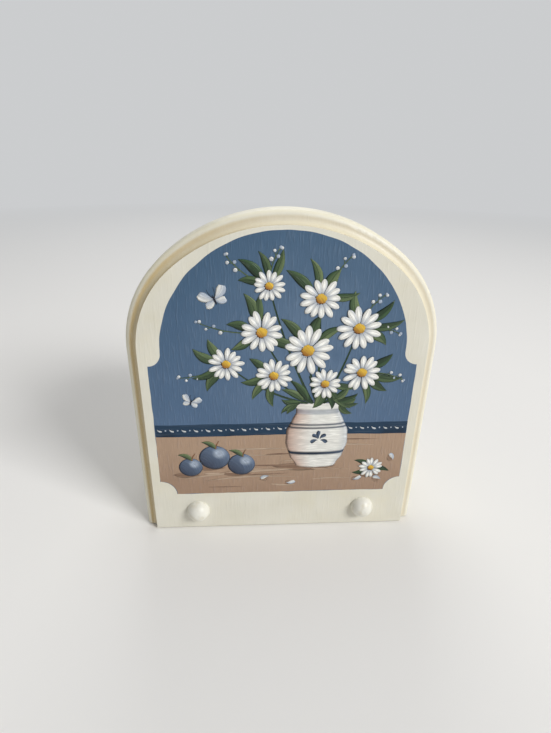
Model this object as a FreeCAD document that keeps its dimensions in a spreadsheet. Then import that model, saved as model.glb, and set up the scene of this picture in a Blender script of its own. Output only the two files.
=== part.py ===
"""Wooden napkin holder with a drawer: two arched boards with ogee edges, a low carcass and a shallow drawer.

The arched front board is the drawer's own front, so it slides forward with the drawer box behind it.
Origin on the table under the middle of the carcass, +Z up, front towards -Y, millimetres.
"""
import FreeCAD, Part
import math
import os
import re

import Sketcher

doc = FreeCAD.newDocument("NapkinHolder")
sheet = doc.addObject("Spreadsheet::Sheet", "sizes")
SLACK = 0.01  # room in comparisons of lengths

driving_sizes = [
    # arched boards
    ("board_width", 178, "both arched boards, across"),
    ("board_thick", 19, "arched boards, planed pine"),
    ("front_top", 203, "top of the front board above the table"),
    ("rear_top", 190, "top of the rear board above the table"),
    ("spring_height", 127, "where the straight sides meet the arch"),
    ("floor_gap", 0.6, "front board above the table, so that it slides"),
    ("foot_easing", 0.8, "rounding of the boards' bottom edges"),
    # ogee edge, from the face outwards
    ("ogee_step", 0.8, "sharp step at the face"),
    ("cove_radius", 3.8, "hollow next to the step"),
    ("bead_radius", 3.2, "round at the board's edge"),
    ("cutter_room", 1, "edge cutter outside the board"),
    # carcass
    ("well_depth", 62, "napkin space between the boards"),
    ("carcass_inset", 9, "base and shelf inside the arched boards, each end"),
    ("base_thick", 6.4, "base board"),
    ("shelf_thick", 9.5, "shelf that the napkins stand on"),
    ("cheek_thick", 9.5, "carcass sides"),
    ("shelf_overhang", 4, "base and shelf past the carcass sides"),
    ("cavity_height", 31, "clear height between base and shelf"),
    ("housing_depth", 2.4, "grooves that the carcass sides stand in"),
    ("shelf_easing", 1.6, "rounding of the shelf's and base's end edges"),
    # drawer box
    ("slide_gap", 0.5, "drawer box to carcass, each side and below"),
    ("head_gap", 1.2, "drawer box below the shelf"),
    ("front_gap", 0.3, "front board to carcass when closed"),
    ("box_thick", 6.4, "drawer sides and drawer back"),
    ("tail_gap", 2.5, "drawer box to rear board when closed"),
    ("side_tenon", 5, "drawer sides let into the front board"),
    ("back_dado", 2.4, "drawer back let into the drawer sides"),
    ("tail_length", 5, "drawer sides past the drawer back"),
    ("bottom_thick", 3, "drawer bottom, plywood"),
    ("bottom_lift", 1.6, "drawer bottom above the sides' lower edge"),
    ("bottom_groove", 3, "drawer bottom let into sides and front"),
    # knobs
    ("knob_inset", 5.6, "knob centres inside the drawer sides"),
    ("knob_lift", 8.3, "knob centres above the drawer box's lower edge"),
    ("knob_diameter", 14.4, "half-round knobs"),
    ("knob_rim", 1.2, "straight rim at the knob's seat"),
    ("knob_reach", 7.2, "knob's front from the board's face"),
    ("knob_flat", 3, "small flat on the knob's front"),
    # screws and brads
    ("shank", 3, "knob screws"),
    ("shank_gap", 0.2, "clearance holes over the shank, across"),
    ("knob_screw_length", 20, "knob screws under the head"),
    ("pan_width", 5.6, "knob screw heads, across"),
    ("pan_height", 2.4, "knob screw heads"),
    ("pan_slope", 1, "sloping edge of the knob screw heads"),
    ("pan_bore", 6.2, "counterbores for the knob screws, across"),
    ("pan_recess", 4, "depth of the counterbores"),
    ("recess_span", 3.2, "cross recess in the screw heads"),
    ("recess_width", 0.8, "each slot of the cross recess"),
    ("recess_depth", 1.2, "cross recess"),
    ("brad_width", 1.2, "brads, flattened wire"),
    ("brad_thick", 1, "brads, the other way"),
    ("brad_point", 1.5, "chisel point of the brads"),
    ("brad_set", 0.5, "brad heads driven below the surface"),
    ("back_brad", 38, "brads through the rear board into base and shelf"),
    ("back_brad_count", 4, "brads in a row across the rear board"),
    ("back_brad_inset", 22, "outer brads from the ends of base and shelf"),
    ("carcass_brad", 22, "brads through shelf and base into the carcass sides"),
    ("carcass_brad_pitch", 40, "between the two brads of a joint"),
    ("drawer_brad", 16, "brads through the drawer sides into the drawer back"),
    ("drawer_brad_pitch", 12, "between the two brads of a joint"),
]

# sizes that follow from the driving ones
derived_sizes = [
    ("half_board", "board_width / 2"),
    ("front_rise", "front_top - spring_height"),
    ("rear_rise", "rear_top - spring_height"),
    ("ogee_width", "cove_radius + bead_radius"),
    ("ogee_depth", "ogee_step + ogee_width"),
    ("half_well", "well_depth / 2"),
    ("carcass_width", "board_width - 2 * carcass_inset"),
    ("shelf_underside", "base_thick + cavity_height"),
    ("cheek_inner", "carcass_width / 2 - shelf_overhang - cheek_thick"),
    ("cheek_height", "cavity_height + 2 * housing_depth"),
    ("carcass_front", "half_well - front_gap"),
    ("box_outer", "cheek_inner - slide_gap"),
    ("box_inner", "box_outer - box_thick"),
    ("box_floor", "base_thick + slide_gap"),
    ("box_height", "cavity_height - slide_gap - head_gap"),
    ("box_depth", "well_depth - tail_gap"),
    ("side_length", "box_depth + side_tenon"),
    ("back_place", "box_depth - tail_length - box_thick"),
    ("back_lift", "bottom_lift + bottom_thick"),
    ("bottom_length", "back_place + box_thick + bottom_groove"),
    ("knob_offset", "box_inner - knob_inset"),
    ("knob_height", "box_floor + knob_lift"),
    ("knob_radius", "knob_diameter / 2"),
    ("dome_fall", "knob_radius^2 + knob_rim^2 - knob_reach^2 - knob_flat^2 / 4"),
    ("dome_centre", "dome_fall / 2 / (knob_rim - knob_reach)"),
    ("dome_radius", "sqrt(knob_radius^2 + (knob_rim - dome_centre)^2)"),
    ("knob_bore", "knob_screw_length - board_thick + pan_recess"),
    ("back_brad_offset", "carcass_width / 2 - back_brad_inset"),
    ("back_brad_rise", "shelf_underside + (shelf_thick - base_thick) / 2"),
    ("cheek_middle", "cheek_inner + cheek_thick / 2"),
]

aliases = {name for name, *rest in driving_sizes + derived_sizes}


def full(formula):
    """The formula with every sheet name spelled as the document spells it."""
    return re.sub(r"[a-z_]+", lambda word: "sizes." + word[0] if word[0] in aliases else word[0], formula)


def value(formula):
    return float(sheet.evalExpression(full(formula)))


def fill_sheet():
    for row, (name, number, note) in enumerate(driving_sizes, 1):
        sheet.set(f"A{row}", name)
        sheet.set(f"B{row}", str(number))
        sheet.set(f"C{row}", note)
        sheet.setAlias(f"B{row}", name)
    for row, (name, formula) in enumerate(derived_sizes, len(driving_sizes) + 1):
        sheet.set(f"A{row}", name)
        sheet.set(f"B{row}", "=" + formula)
        sheet.setAlias(f"B{row}", name)
    doc.recompute()


def new_body(label, place=("0", "0", "0"), turn=0):
    """A body whose position is bound to the sheet, turned about Z by some degrees."""
    body = doc.addObject("PartDesign::Body", label)
    body.Label = label
    body.Placement.Rotation = FreeCAD.Rotation(FreeCAD.Vector(0, 0, 1), turn)
    for axis, formula in zip("xyz", place):
        body.setExpression(f"Placement.Base.{axis}", full(formula))
    return body


def origin_item(body, role):
    return next(item for item in body.Origin.OriginFeatures if item.Role == role)


def new_sketch(body, role, name, lift="0"):
    """A sketch on one of the body's own origin planes, lifted along the plane's normal."""
    sketch = body.newObject("Sketcher::SketchObject", name)
    sketch.AttachmentSupport = [(origin_item(body, role), "")]
    sketch.MapMode = "FlatFace"
    sketch.setExpression("AttachmentOffset.Base.z", full(lift))
    return sketch


def dimension(sketch, kind, refs, formula):
    """Adds a driving dimension and binds it to the sheet. Signed distances are turned to positive ones."""
    if value(formula) < 0:
        refs, formula = refs[2:] + refs[:2], f"-({formula})"
    index = sketch.addConstraint(Sketcher.Constraint(kind, *refs, value(formula)))
    name = f"size_{index}"
    sketch.renameConstraint(index, name)
    sketch.setExpression(f"Constraints.{name}", full(formula))


def pin_point(sketch, line, end, across, up):
    """Fixes one end of an edge at the given coordinates of its sketch."""
    for kind, axis, formula in (("DistanceX", -2, across), ("DistanceY", -1, up)):
        if formula == "0":
            sketch.addConstraint(Sketcher.Constraint("PointOnObject", line, end, axis))
        elif formula:
            dimension(sketch, kind, (-1, 1, line, end), formula)


def outline(sketch, corners):
    """A closed outline of straight edges and quarter-round arcs through corners given as formulas.

    A corner is (across, up), or (across, up, centre_across, centre_up, ccw) where an arc leads on from it.
    """
    spots = [(value(c[0]), value(c[1])) for c in corners]
    for here, spot in enumerate(spots):
        after = spots[(here + 1) % len(spots)]
        start, finish = FreeCAD.Vector(*spot), FreeCAD.Vector(*after)
        if len(corners[here]) == 2:
            sketch.addGeometry(Part.LineSegment(start, finish))
            continue
        centre = FreeCAD.Vector(value(corners[here][2]), value(corners[here][3]))
        circle = Part.Circle(centre, FreeCAD.Vector(0, 0, 1), (start - centre).Length)
        first, last = (start, finish) if corners[here][4] else (finish, start)
        angles = [math.atan2(p.y - centre.y, p.x - centre.x) for p in (first, last)]
        sketch.addGeometry(Part.ArcOfCircle(circle, *angles))
    ends = [(2, 1) if len(c) > 2 and not c[4] else (1, 2) for c in corners]
    for here in range(len(corners)):
        after = (here + 1) % len(corners)
        sketch.addConstraint(Sketcher.Constraint("Coincident", here, ends[here][1], after, ends[after][0]))
    for here, corner in enumerate(corners):
        across, up = corner[:2]
        before = corners[here - 1]
        if here and len(before) == 2 and before[0] == across:
            sketch.addConstraint(Sketcher.Constraint("Vertical", here - 1))
            across = None
        if here and len(before) == 2 and before[1] == up:
            sketch.addConstraint(Sketcher.Constraint("Horizontal", here - 1))
            up = None
        pin_point(sketch, here, ends[here][0], across, up)
        if len(corner) > 2:
            dimension(sketch, "Radius", (here,), corner[5])
    return sketch


def rectangle(sketch, left, bottom, right, top):
    return outline(sketch, [(left, bottom), (right, bottom), (right, top), (left, top)])


def centred_rectangle(sketch, width, bottom, top):
    return rectangle(sketch, f"-{width} / 2", bottom, f"{width} / 2", top)


def pad(body, sketch, length, reverse=False):
    feature = body.newObject("PartDesign::Pad", "Pad")
    feature.Profile = sketch
    feature.Reversed = reverse
    feature.setExpression("Length", full(length))
    doc.recompute()
    return feature


def cut(body, sketch, depth, reverse=False):
    """A pocket that must take wood away."""
    before = body.Shape.Volume
    feature = body.newObject("PartDesign::Pocket", "Pocket")
    feature.Profile = sketch
    feature.Reversed = reverse
    feature.setExpression("Length", full(depth))
    doc.recompute()
    if body.Shape.Volume > before - SLACK:
        raise ValueError(f"{body.Label}: {sketch.Label} cuts nothing")
    return feature


def ease(body, feature, radius, chosen):
    """Rounds the edges of a feature for which chosen(edge) is true."""
    names = [f"Edge{n}" for n, edge in enumerate(feature.Shape.Edges, 1) if chosen(edge)]
    fillet = body.newObject("PartDesign::Fillet", "Easing")
    fillet.Base = (feature, names)
    fillet.setExpression("Radius", full(radius))
    doc.recompute()
    return fillet


def mirror(body, feature, role):
    """Repeats a feature on the other side of one of the body's planes."""
    copy = body.newObject("PartDesign::Mirrored", "Mirrored")
    copy.Originals = [feature]
    copy.MirrorPlane = (origin_item(body, role), [""])
    body.Tip = copy
    doc.recompute()
    return copy


def arch(sketch, foot, rise, closed):
    """The boards' outline: straight sides under a three-centred arch, open at the foot unless closed.

    The arch has Bossut's proportions: its two radii follow from half the span and the rise, and its arcs
    meet on the line from the middle of the span's end to the crown.
    """
    chord = f"sqrt(half_board^2 + {rise}^2)"
    shoulder = f"{chord} * ({chord} - half_board + {rise}) / board_width"
    crown = f"{chord} * ({chord} + half_board - {rise}) / {rise} / 2"
    half, spring, radius, crest = (value(f) for f in ("half_board", "spring_height", shoulder, crown))
    lean = math.atan2(half, value(rise))
    upright = FreeCAD.Vector(0, 0, 1)
    right_hub, left_hub = FreeCAD.Vector(half - radius, spring), FreeCAD.Vector(radius - half, spring)
    centre = FreeCAD.Vector(0, spring + value(rise) - crest)
    right_foot, right_spring = FreeCAD.Vector(half, value(foot)), FreeCAD.Vector(half, spring)
    left_foot, left_spring = FreeCAD.Vector(-half, value(foot)), FreeCAD.Vector(-half, spring)
    sketch.addGeometry(Part.LineSegment(right_foot, right_spring))
    sketch.addGeometry(Part.ArcOfCircle(Part.Circle(right_hub, upright, radius), 0, lean))
    sketch.addGeometry(Part.ArcOfCircle(Part.Circle(centre, upright, crest), lean, math.pi - lean))
    sketch.addGeometry(Part.ArcOfCircle(Part.Circle(left_hub, upright, radius), math.pi - lean, math.pi))
    sketch.addGeometry(Part.LineSegment(left_spring, left_foot))
    pin_point(sketch, 0, 1, "half_board", foot)
    sketch.addConstraint(Sketcher.Constraint("Vertical", 0))
    pin_point(sketch, 0, 2, None, "spring_height")
    for edge in range(4):
        sketch.addConstraint(Sketcher.Constraint("Tangent", edge, 2, edge + 1, 1))
    dimension(sketch, "Radius", (1,), shoulder)
    dimension(sketch, "Radius", (2,), crown)
    sketch.addConstraint(Sketcher.Constraint("PointOnObject", 2, 3, -2))
    sketch.addConstraint(Sketcher.Constraint("Symmetric", 0, 2, 4, 1, -2))
    sketch.addConstraint(Sketcher.Constraint("Symmetric", 0, 1, 4, 2, -2))
    if closed:
        sketch.addGeometry(Part.LineSegment(left_foot, right_foot))
        sketch.addConstraint(Sketcher.Constraint("Coincident", 4, 2, 5, 1))
        sketch.addConstraint(Sketcher.Constraint("Coincident", 5, 2, 0, 1))
    return sketch


def arched_board(label, place, turn, foot, rise):
    """A board standing with its plain side on the body's XZ plane and its moulded face at -board_thick."""
    body = new_body(label, place, turn)
    board = pad(body, arch(new_sketch(body, "XZ_Plane", "Outline"), foot, rise, True), "board_thick")
    lowest, longest = value(foot) + SLACK, value("board_width") - SLACK
    ease(body, board, "foot_easing",
         lambda edge: edge.BoundBox.ZMax < lowest and edge.BoundBox.XLength > longest)
    route_ogee(body, foot, rise)
    return body


def route_ogee(body, foot, rise):
    """Runs the ogee cutter up one side of the board, over the arch and down the other side."""
    path = arch(new_sketch(body, "XZ_Plane", "CutterPath"), foot, rise, False)
    inner, outer = "half_board - ogee_width", "half_board + cutter_room"
    middle, face = "half_board - bead_radius", "-board_thick"
    cutter = outline(new_sketch(body, "XY_Plane", "Cutter", foot), [
        (inner, f"{face} - cutter_room"),
        (outer, f"{face} - cutter_room"),
        (outer, f"{face} + ogee_depth"),
        ("half_board", f"{face} + ogee_depth", middle, f"{face} + ogee_depth", False, "bead_radius"),
        (middle, f"{face} + ogee_step + cove_radius", middle, f"{face} + ogee_step", True, "cove_radius"),
        (inner, f"{face} + ogee_step"),
    ])
    before = body.Shape.Volume
    moulding = body.newObject("PartDesign::SubtractivePipe", "OgeeEdge")
    moulding.Profile = cutter
    moulding.Spine = (path, [])
    moulding.Mode = "Standard"
    doc.recompute()
    if body.Shape.Volume > before - SLACK:
        raise ValueError(f"{body.Label}: the ogee edge cuts nothing")


def circles(sketch, spots, diameter):
    for across, up in spots:
        centre = FreeCAD.Vector(value(across), value(up))
        index = sketch.addGeometry(Part.Circle(centre, FreeCAD.Vector(0, 0, 1), value(diameter) / 2))
        pin_point(sketch, index, 3, across, up)
        dimension(sketch, "Diameter", (index,), diameter)
    return sketch


def drill(body, role, lift, spots, diameter, depth, reverse=False):
    return cut(body, circles(new_sketch(body, role, "Bores", lift), spots, diameter), depth, reverse)


def turn_profile(body, corners):
    """Revolves an outline of (radius, distance along +Y) corners about the body's Y axis."""
    feature = body.newObject("PartDesign::Revolution", "Turned")
    feature.Profile = outline(new_sketch(body, "XY_Plane", "Profile"), corners)
    feature.ReferenceAxis = (origin_item(body, "Y_Axis"), [""])
    feature.Angle = 360
    doc.recompute()
    return feature


def front_board():
    place = ("0", "-half_well", "0")
    body = arched_board("drawer_front", place, 0, "floor_gap", "front_rise")
    side_groove = new_sketch(body, "XZ_Plane", "SideGroove")
    rectangle(side_groove, "box_inner", "box_floor", "box_outer", "box_floor + box_height")
    mirror(body, cut(body, side_groove, "side_tenon", True), "YZ_Plane")
    bottom_groove = new_sketch(body, "XZ_Plane", "BottomGroove")
    centred_rectangle(bottom_groove, "2 * box_inner", "box_floor + bottom_lift", "box_floor + back_lift")
    cut(body, bottom_groove, "bottom_groove", True)
    spots = [("-knob_offset", "knob_height"), ("knob_offset", "knob_height")]
    drill(body, "XZ_Plane", "0", spots, "shank + shank_gap", "board_thick", True)
    drill(body, "XZ_Plane", "0", spots, "pan_bore", "pan_recess", True)
    return body


def rear_board():
    return arched_board("back_panel", ("0", "half_well", "0"), 180, "0", "rear_rise")


def flat_board(label, lift, thickness):
    """Base or shelf: a board across the carcass, its front edge just behind the closed front board."""
    body = new_body(label, ("0", "0", lift))
    blank = new_sketch(body, "XY_Plane", "Blank")
    centred_rectangle(blank, "carcass_width", "-carcass_front", "half_well")
    board = pad(body, blank, thickness)
    end = value("carcass_width / 2") - SLACK
    ease(body, board, "shelf_easing",
         lambda edge: abs(edge.BoundBox.Center.x) > end and edge.BoundBox.YLength > SLACK)
    return body


def house_cheeks(body, lift, upwards):
    """Grooves that the carcass sides stand in."""
    groove = new_sketch(body, "XY_Plane", "Housing", lift)
    rectangle(groove, "cheek_inner", "-carcass_front", "cheek_inner + cheek_thick", "half_well")
    mirror(body, cut(body, groove, "housing_depth", upwards), "YZ_Plane")


def base_board():
    body = flat_board("base_board", "0", "base_thick")
    house_cheeks(body, "base_thick", False)
    return body


def napkin_shelf():
    body = flat_board("napkin_shelf", "shelf_underside", "shelf_thick")
    house_cheeks(body, "0", True)
    return body


def carcass_side(label, side, leftwards):
    body = new_body(label, (side + "cheek_inner", "0", "base_thick - housing_depth"))
    blank = new_sketch(body, "YZ_Plane", "Blank")
    rectangle(blank, "-carcass_front", "0", "half_well", "cheek_height")
    pad(body, blank, "cheek_thick", leftwards)
    return body


def drawer_side(label, side, leftwards):
    """Side of the drawer box, seen from its inner face, with its front end let into the front board."""
    body = new_body(label, (side + "box_inner", "-half_well", "box_floor"))
    blank = new_sketch(body, "YZ_Plane", "Blank")
    rectangle(blank, "-side_tenon", "0", "box_depth", "box_height")
    pad(body, blank, "box_thick", leftwards)
    bottom_groove = new_sketch(body, "YZ_Plane", "BottomGroove")
    rectangle(bottom_groove, "-side_tenon", "bottom_lift", "box_depth", "back_lift")
    cut(body, bottom_groove, "bottom_groove", not leftwards)
    dado = new_sketch(body, "YZ_Plane", "BackDado")
    rectangle(dado, "back_place", "back_lift", "back_place + box_thick", "box_height")
    cut(body, dado, "back_dado", not leftwards)
    return body


def drawer_back():
    body = new_body("drawer_back", ("0", "-half_well", "box_floor"))
    blank = new_sketch(body, "XY_Plane", "Blank", "back_lift")
    centred_rectangle(blank, "2 * (box_inner + back_dado)", "back_place", "back_place + box_thick")
    pad(body, blank, "box_height - back_lift")
    return body


def drawer_bottom():
    body = new_body("drawer_bottom", ("0", "-half_well", "box_floor"))
    blank = new_sketch(body, "XY_Plane", "Blank", "bottom_lift")
    centred_rectangle(blank, "2 * (box_inner + bottom_groove)", "-bottom_groove", "back_place + box_thick")
    pad(body, blank, "bottom_thick")
    return body


def knobs():
    """Two turned half-round knobs, seated flat on the front and with a blind bore for the screw."""
    body = new_body("knobs", ("knob_offset", "-half_well - board_thick", "knob_height"), 180)
    turn_profile(body, [
        ("0", "knob_bore"),
        ("shank / 2", "knob_bore"),
        ("shank / 2", "0"),
        ("knob_radius", "0"),
        ("knob_radius", "knob_rim", "0", "dome_centre", True, "dome_radius"),
        ("knob_flat / 2", "knob_reach"),
        ("0", "knob_reach"),
    ])
    copies(body, "X_Axis", "2 * knob_offset")
    return body


def cross_recess(body):
    """Two crossing slots in the screw head, at the body's XZ plane."""
    slots = {"SlotAcross": ("recess_span", "recess_width"), "SlotUp": ("recess_width", "recess_span")}
    for name, (width, height) in slots.items():
        slot = new_sketch(body, "XZ_Plane", name)
        centred_rectangle(slot, width, f"-{height} / 2", f"{height} / 2")
        cut(body, slot, "recess_depth")


def knob_screws():
    """Pan-head screws that hold the knobs from inside the drawer."""
    place = ("knob_offset", "-half_well - pan_recess + pan_height", "knob_height")
    body = new_body("knob_screws", place, 180)
    turn_profile(body, [
        ("0", "0"),
        ("pan_width / 2 - pan_slope", "0"),
        ("pan_width / 2", "pan_slope"),
        ("pan_width / 2", "pan_height"),
        ("shank / 2", "pan_height"),
        ("shank / 2", "pan_height + knob_screw_length"),
        ("0", "pan_height + knob_screw_length"),
    ])
    cross_recess(body)
    copies(body, "X_Axis", "2 * knob_offset")
    return body


def copies(body, role, span, count="2"):
    """Repeats the body's whole shape evenly along one of its axes."""
    row = body.newObject("PartDesign::LinearPattern", "Row")
    row.TransformMode = "Whole shape"
    row.Direction = (origin_item(body, role), [""])
    row.setExpression("Length", full(span))
    row.setExpression("Occurrences", full(count))
    body.Tip = row
    doc.recompute()


def brad(label, place, turn, length, start="0"):
    """A flat brad with a chisel point, driven along the body's own Y axis and set below the surface."""
    body = new_body(label, place)
    body.Placement.Rotation = turn
    head = f"{start} + brad_set"
    shoulder = f"{head} + {length} - brad_point"
    pad(body, outline(new_sketch(body, "XY_Plane", "Profile", "-brad_thick / 2"), [
        ("-brad_width / 2", head),
        ("brad_width / 2", head),
        ("brad_width / 2", shoulder),
        ("0", f"{head} + {length}"),
        ("-brad_width / 2", shoulder),
    ]), "brad_thick")
    return body


def back_brads():
    """Two rows of brads through the rear board, one into the base and one into the shelf."""
    turn = FreeCAD.Rotation(FreeCAD.Vector(0, 0, 1), 180)
    place = ("back_brad_offset", "half_well + board_thick", "base_thick / 2")
    body = brad("back_brads", place, turn, "back_brad")
    copies(body, "X_Axis", "2 * back_brad_offset", "back_brad_count")
    copies(body, "Z_Axis", "back_brad_rise")
    return body


def carcass_brads(label, front, level, quarter_turn):
    """Four brads through the shelf or the base into the carcass sides."""
    turn = FreeCAD.Rotation(FreeCAD.Vector(1, 0, 0), quarter_turn)
    body = brad(label, ("-cheek_middle", front, level), turn, "carcass_brad")
    copies(body, "X_Axis", "2 * cheek_middle")
    copies(body, "Z_Axis", "carcass_brad_pitch")
    return body


def drawer_brads():
    """Two brads through each drawer side into the end of the drawer back."""
    lowest = "box_floor + (back_lift + box_height - drawer_brad_pitch) / 2"
    place = ("0", "-half_well + back_place + box_thick / 2", lowest)
    turn = FreeCAD.Rotation(FreeCAD.Vector(0, 0, 1), -90)
    body = brad("drawer_brads", place, turn, "drawer_brad", "-box_outer")
    copies(body, "Z_Axis", "drawer_brad_pitch")
    both = body.newObject("PartDesign::Mirrored", "OtherSide")
    both.TransformMode = "Whole shape"
    both.MirrorPlane = (origin_item(body, "XZ_Plane"), [""])
    body.Tip = both
    doc.recompute()
    return body


fill_sheet()
nodes = [
    front_board(),
    rear_board(),
    base_board(),
    napkin_shelf(),
    carcass_side("carcass_side_left", "-", True),
    carcass_side("carcass_side_right", "", False),
    drawer_side("drawer_side_left", "-", True),
    drawer_side("drawer_side_right", "", False),
    drawer_back(),
    drawer_bottom(),
    knobs(),
    knob_screws(),
    back_brads(),
    carcass_brads("shelf_brads", "-carcass_brad_pitch / 2", "shelf_underside + shelf_thick", -90),
    carcass_brads("base_brads", "carcass_brad_pitch / 2", "0", 90),
    drawer_brads(),
]
doc.recompute()
for item in doc.Objects:
    if set(item.State) & {"Invalid", "Error"}:
        raise ValueError(f"{item.Label} is {item.State}")
os.makedirs("parts", exist_ok=True)
for node in nodes:
    shape = node.Shape
    if shape.isNull() or not shape.isValid():
        raise ValueError(f"{node.Label} has no valid shape")
    shape.exportStep(f"parts/{node.Label}.step")
    box = shape.optimalBoundingBox()
    print(node.Label, len(shape.Solids), "solids,", round(shape.Volume), "mm3,",
          *(round(v, 2) for v in (box.XMin, box.XMax, box.YMin, box.YMax, box.ZMin, box.ZMax)))
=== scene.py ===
import math

import bmesh
import bpy
from mathutils import Matrix, Vector, noise
from mathutils.geometry import delaunay_2d_cdt
from random import Random


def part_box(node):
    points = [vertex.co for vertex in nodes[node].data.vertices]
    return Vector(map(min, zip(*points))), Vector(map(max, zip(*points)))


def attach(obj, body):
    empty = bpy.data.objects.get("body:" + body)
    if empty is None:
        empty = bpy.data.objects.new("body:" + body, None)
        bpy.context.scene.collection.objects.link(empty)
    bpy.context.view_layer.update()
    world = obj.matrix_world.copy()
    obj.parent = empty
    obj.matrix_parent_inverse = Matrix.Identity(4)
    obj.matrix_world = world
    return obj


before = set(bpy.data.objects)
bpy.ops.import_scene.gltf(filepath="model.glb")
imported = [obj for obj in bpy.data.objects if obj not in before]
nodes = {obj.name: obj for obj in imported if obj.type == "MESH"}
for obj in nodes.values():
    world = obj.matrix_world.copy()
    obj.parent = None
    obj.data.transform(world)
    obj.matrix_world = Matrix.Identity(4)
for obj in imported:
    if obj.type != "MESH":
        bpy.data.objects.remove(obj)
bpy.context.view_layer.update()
print("frame loaded:", len(nodes), "nodes")

mm = 0.001


def tone(red, green, blue):
    # a colour as a paint chart gives it, 0 to 255, made linear
    parts = [v / 255 for v in (red, green, blue)]
    return tuple(v / 12.92 if v <= 0.04045 else ((v + 0.055) / 1.055) ** 2.4 for v in parts) + (1,)


def newObject(name, data):
    made = bpy.data.objects.new(name, data)
    bpy.context.scene.collection.objects.link(made)
    return made


def give(tree, socket, given):
    # a socket takes a value, or a link from another node
    if isinstance(given, bpy.types.NodeSocket):
        tree.links.new(given, socket)
    else:
        socket.default_value = given


def addNode(tree, kind, inputs=None, **settings):
    made = tree.nodes.new(kind)
    for name, setting in settings.items():
        setattr(made, name, setting)
    for name, given in (inputs or {}).items():
        give(tree, made.inputs[name], given)
    return made


def shaderNode(tree, kind, inputs=None, **settings):
    return addNode(tree, "ShaderNode" + kind, inputs, **settings)


def calc(tree, operation, first, second=0.0, clamp=False):
    return shaderNode(tree, "Math", {0: first, 1: second}, operation=operation, use_clamp=clamp).outputs[0]


def times(tree, first, second):
    return calc(tree, "MULTIPLY", first, second)


def spread(tree, given, low, high, newLow=0.0, newHigh=1.0):
    # low to high made newLow to newHigh
    made = shaderNode(tree, "MapRange", {"Value": given, "From Min": low, "From Max": high,
                                         "To Min": newLow, "To Max": newHigh}, clamp=True)
    return made.outputs["Result"]


def blendValues(tree, share, first, second):
    return shaderNode(tree, "Mix", {0: share, 2: first, 3: second}, data_type="FLOAT").outputs[0]


def blendTones(tree, share, first, second, how="MIX"):
    made = shaderNode(tree, "Mix", {0: share, 6: first, 7: second}, data_type="RGBA", blend_type=how)
    return made.outputs[2]


def shaded(tree, colour, mask, low, high):
    # the colour times low where the mask is 0, and times high where it is 1
    return blendTones(tree, 1.0, colour, spread(tree, mask, 0.0, 1.0, low, high), "MULTIPLY")


def glazed(tree, colour, mask, share, over):
    # another colour laid over it where the mask is, up to that share
    return blendTones(tree, times(tree, mask, share), colour, over)


def axis(tree, vector, letter):
    return shaderNode(tree, "SeparateXYZ", {"Vector": vector}).outputs[letter]


def stretched(tree, vector, factors):
    return shaderNode(tree, "VectorMath", {0: vector, 1: factors}, operation="MULTIPLY").outputs[0]


def noiseAt(tree, place, scale, detail, seed=None, roughness=0.5):
    inputs = {"Vector": place, "Scale": scale, "Detail": detail, "Roughness": roughness}
    if seed is None:
        return shaderNode(tree, "TexNoise", inputs).outputs["Fac"]
    return shaderNode(tree, "TexNoise", {**inputs, "W": seed}, noise_dimensions="4D").outputs["Fac"]


def newMaterial(name, **plainSockets):
    material = bpy.data.materials.new(name)
    material.use_nodes = True
    tree = material.node_tree
    shader = tree.nodes["Principled BSDF"]
    for socket, given in plainSockets.items():
        shader.inputs[socket.replace("_", " ")].default_value = given
    return material, tree, shader, shaderNode(tree, "TexCoord").outputs["Object"]


def newPaint(name, s):
    specular, coat, coatRoughness = s["gloss"]
    return newMaterial(name, Specular_IOR_Level=specular, Coat_Weight=coat, Coat_Roughness=coatRoughness)


def dress(tree, shader, colour, height, mask, s, low=0.0, high=1.0):
    # s gives the relief's depth in metres, and the roughness where the mask is low and high
    bump = shaderNode(tree, "Bump", {"Height": height, "Strength": 1.0, "Distance": s["depth"]})
    give(tree, shader.inputs["Base Color"], colour)
    give(tree, shader.inputs["Roughness"], spread(tree, mask, low, high, *s["roughness"]))
    give(tree, shader.inputs["Normal"], bump.outputs[0])


viewSizes = {
    "place": (-19.3, -287.0, 228.0),    # millimetres
    "yaw": 3.46,
    "pitch": 24.79,
    "roll": 0.89,
    "lens": 22.59,
    "nearest": 0.01,                    # metres
}


def makeCamera(s):
    yaw, pitch, roll = (math.radians(s[k]) for k in ("yaw", "pitch", "roll"))
    ahead = Vector((math.sin(yaw) * math.cos(pitch), math.cos(yaw) * math.cos(pitch), -math.sin(pitch)))
    level = Vector((math.cos(yaw), -math.sin(yaw), 0))
    upright = level.cross(ahead)
    right = math.cos(roll) * level + math.sin(roll) * upright
    up = math.cos(roll) * upright - math.sin(roll) * level
    turn = Matrix((right, up, -ahead)).transposed()
    data = bpy.data.cameras.new("camera")
    data.lens = s["lens"]
    data.clip_start = s["nearest"]
    camera = newObject("camera", data)
    camera.matrix_world = Matrix.Translation(Vector(s["place"]) * mm) @ turn.to_4x4()
    bpy.context.scene.camera = camera


makeCamera(viewSizes)

lampSizes = {    # millimetres and watts
    "window": {"place": (1920, -1720, 1756), "aim": (0, -50, 100), "size": 1120, "power": 71.0},
    "ceiling": {"place": (-150, 250, 1500), "aim": (0, 0, 100), "size": 900, "power": 4.0},
    "behind": {"place": (0, 1650, 1400), "aim": (0, 0, 100), "size": 1100, "power": 9.5},
}


def makeLamp(name, s):
    data = bpy.data.lights.new(name, "AREA")
    data.size = s["size"] * mm
    data.energy = s["power"]
    lamp = newObject(name, data)
    place, aim = Vector(s["place"]) * mm, Vector(s["aim"]) * mm
    turn = (aim - place).to_track_quat("-Z", "Y").to_matrix()
    lamp.matrix_world = Matrix.Translation(place) @ turn.to_4x4()


for name, sizes in lampSizes.items():
    makeLamp(name, sizes)

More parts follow.
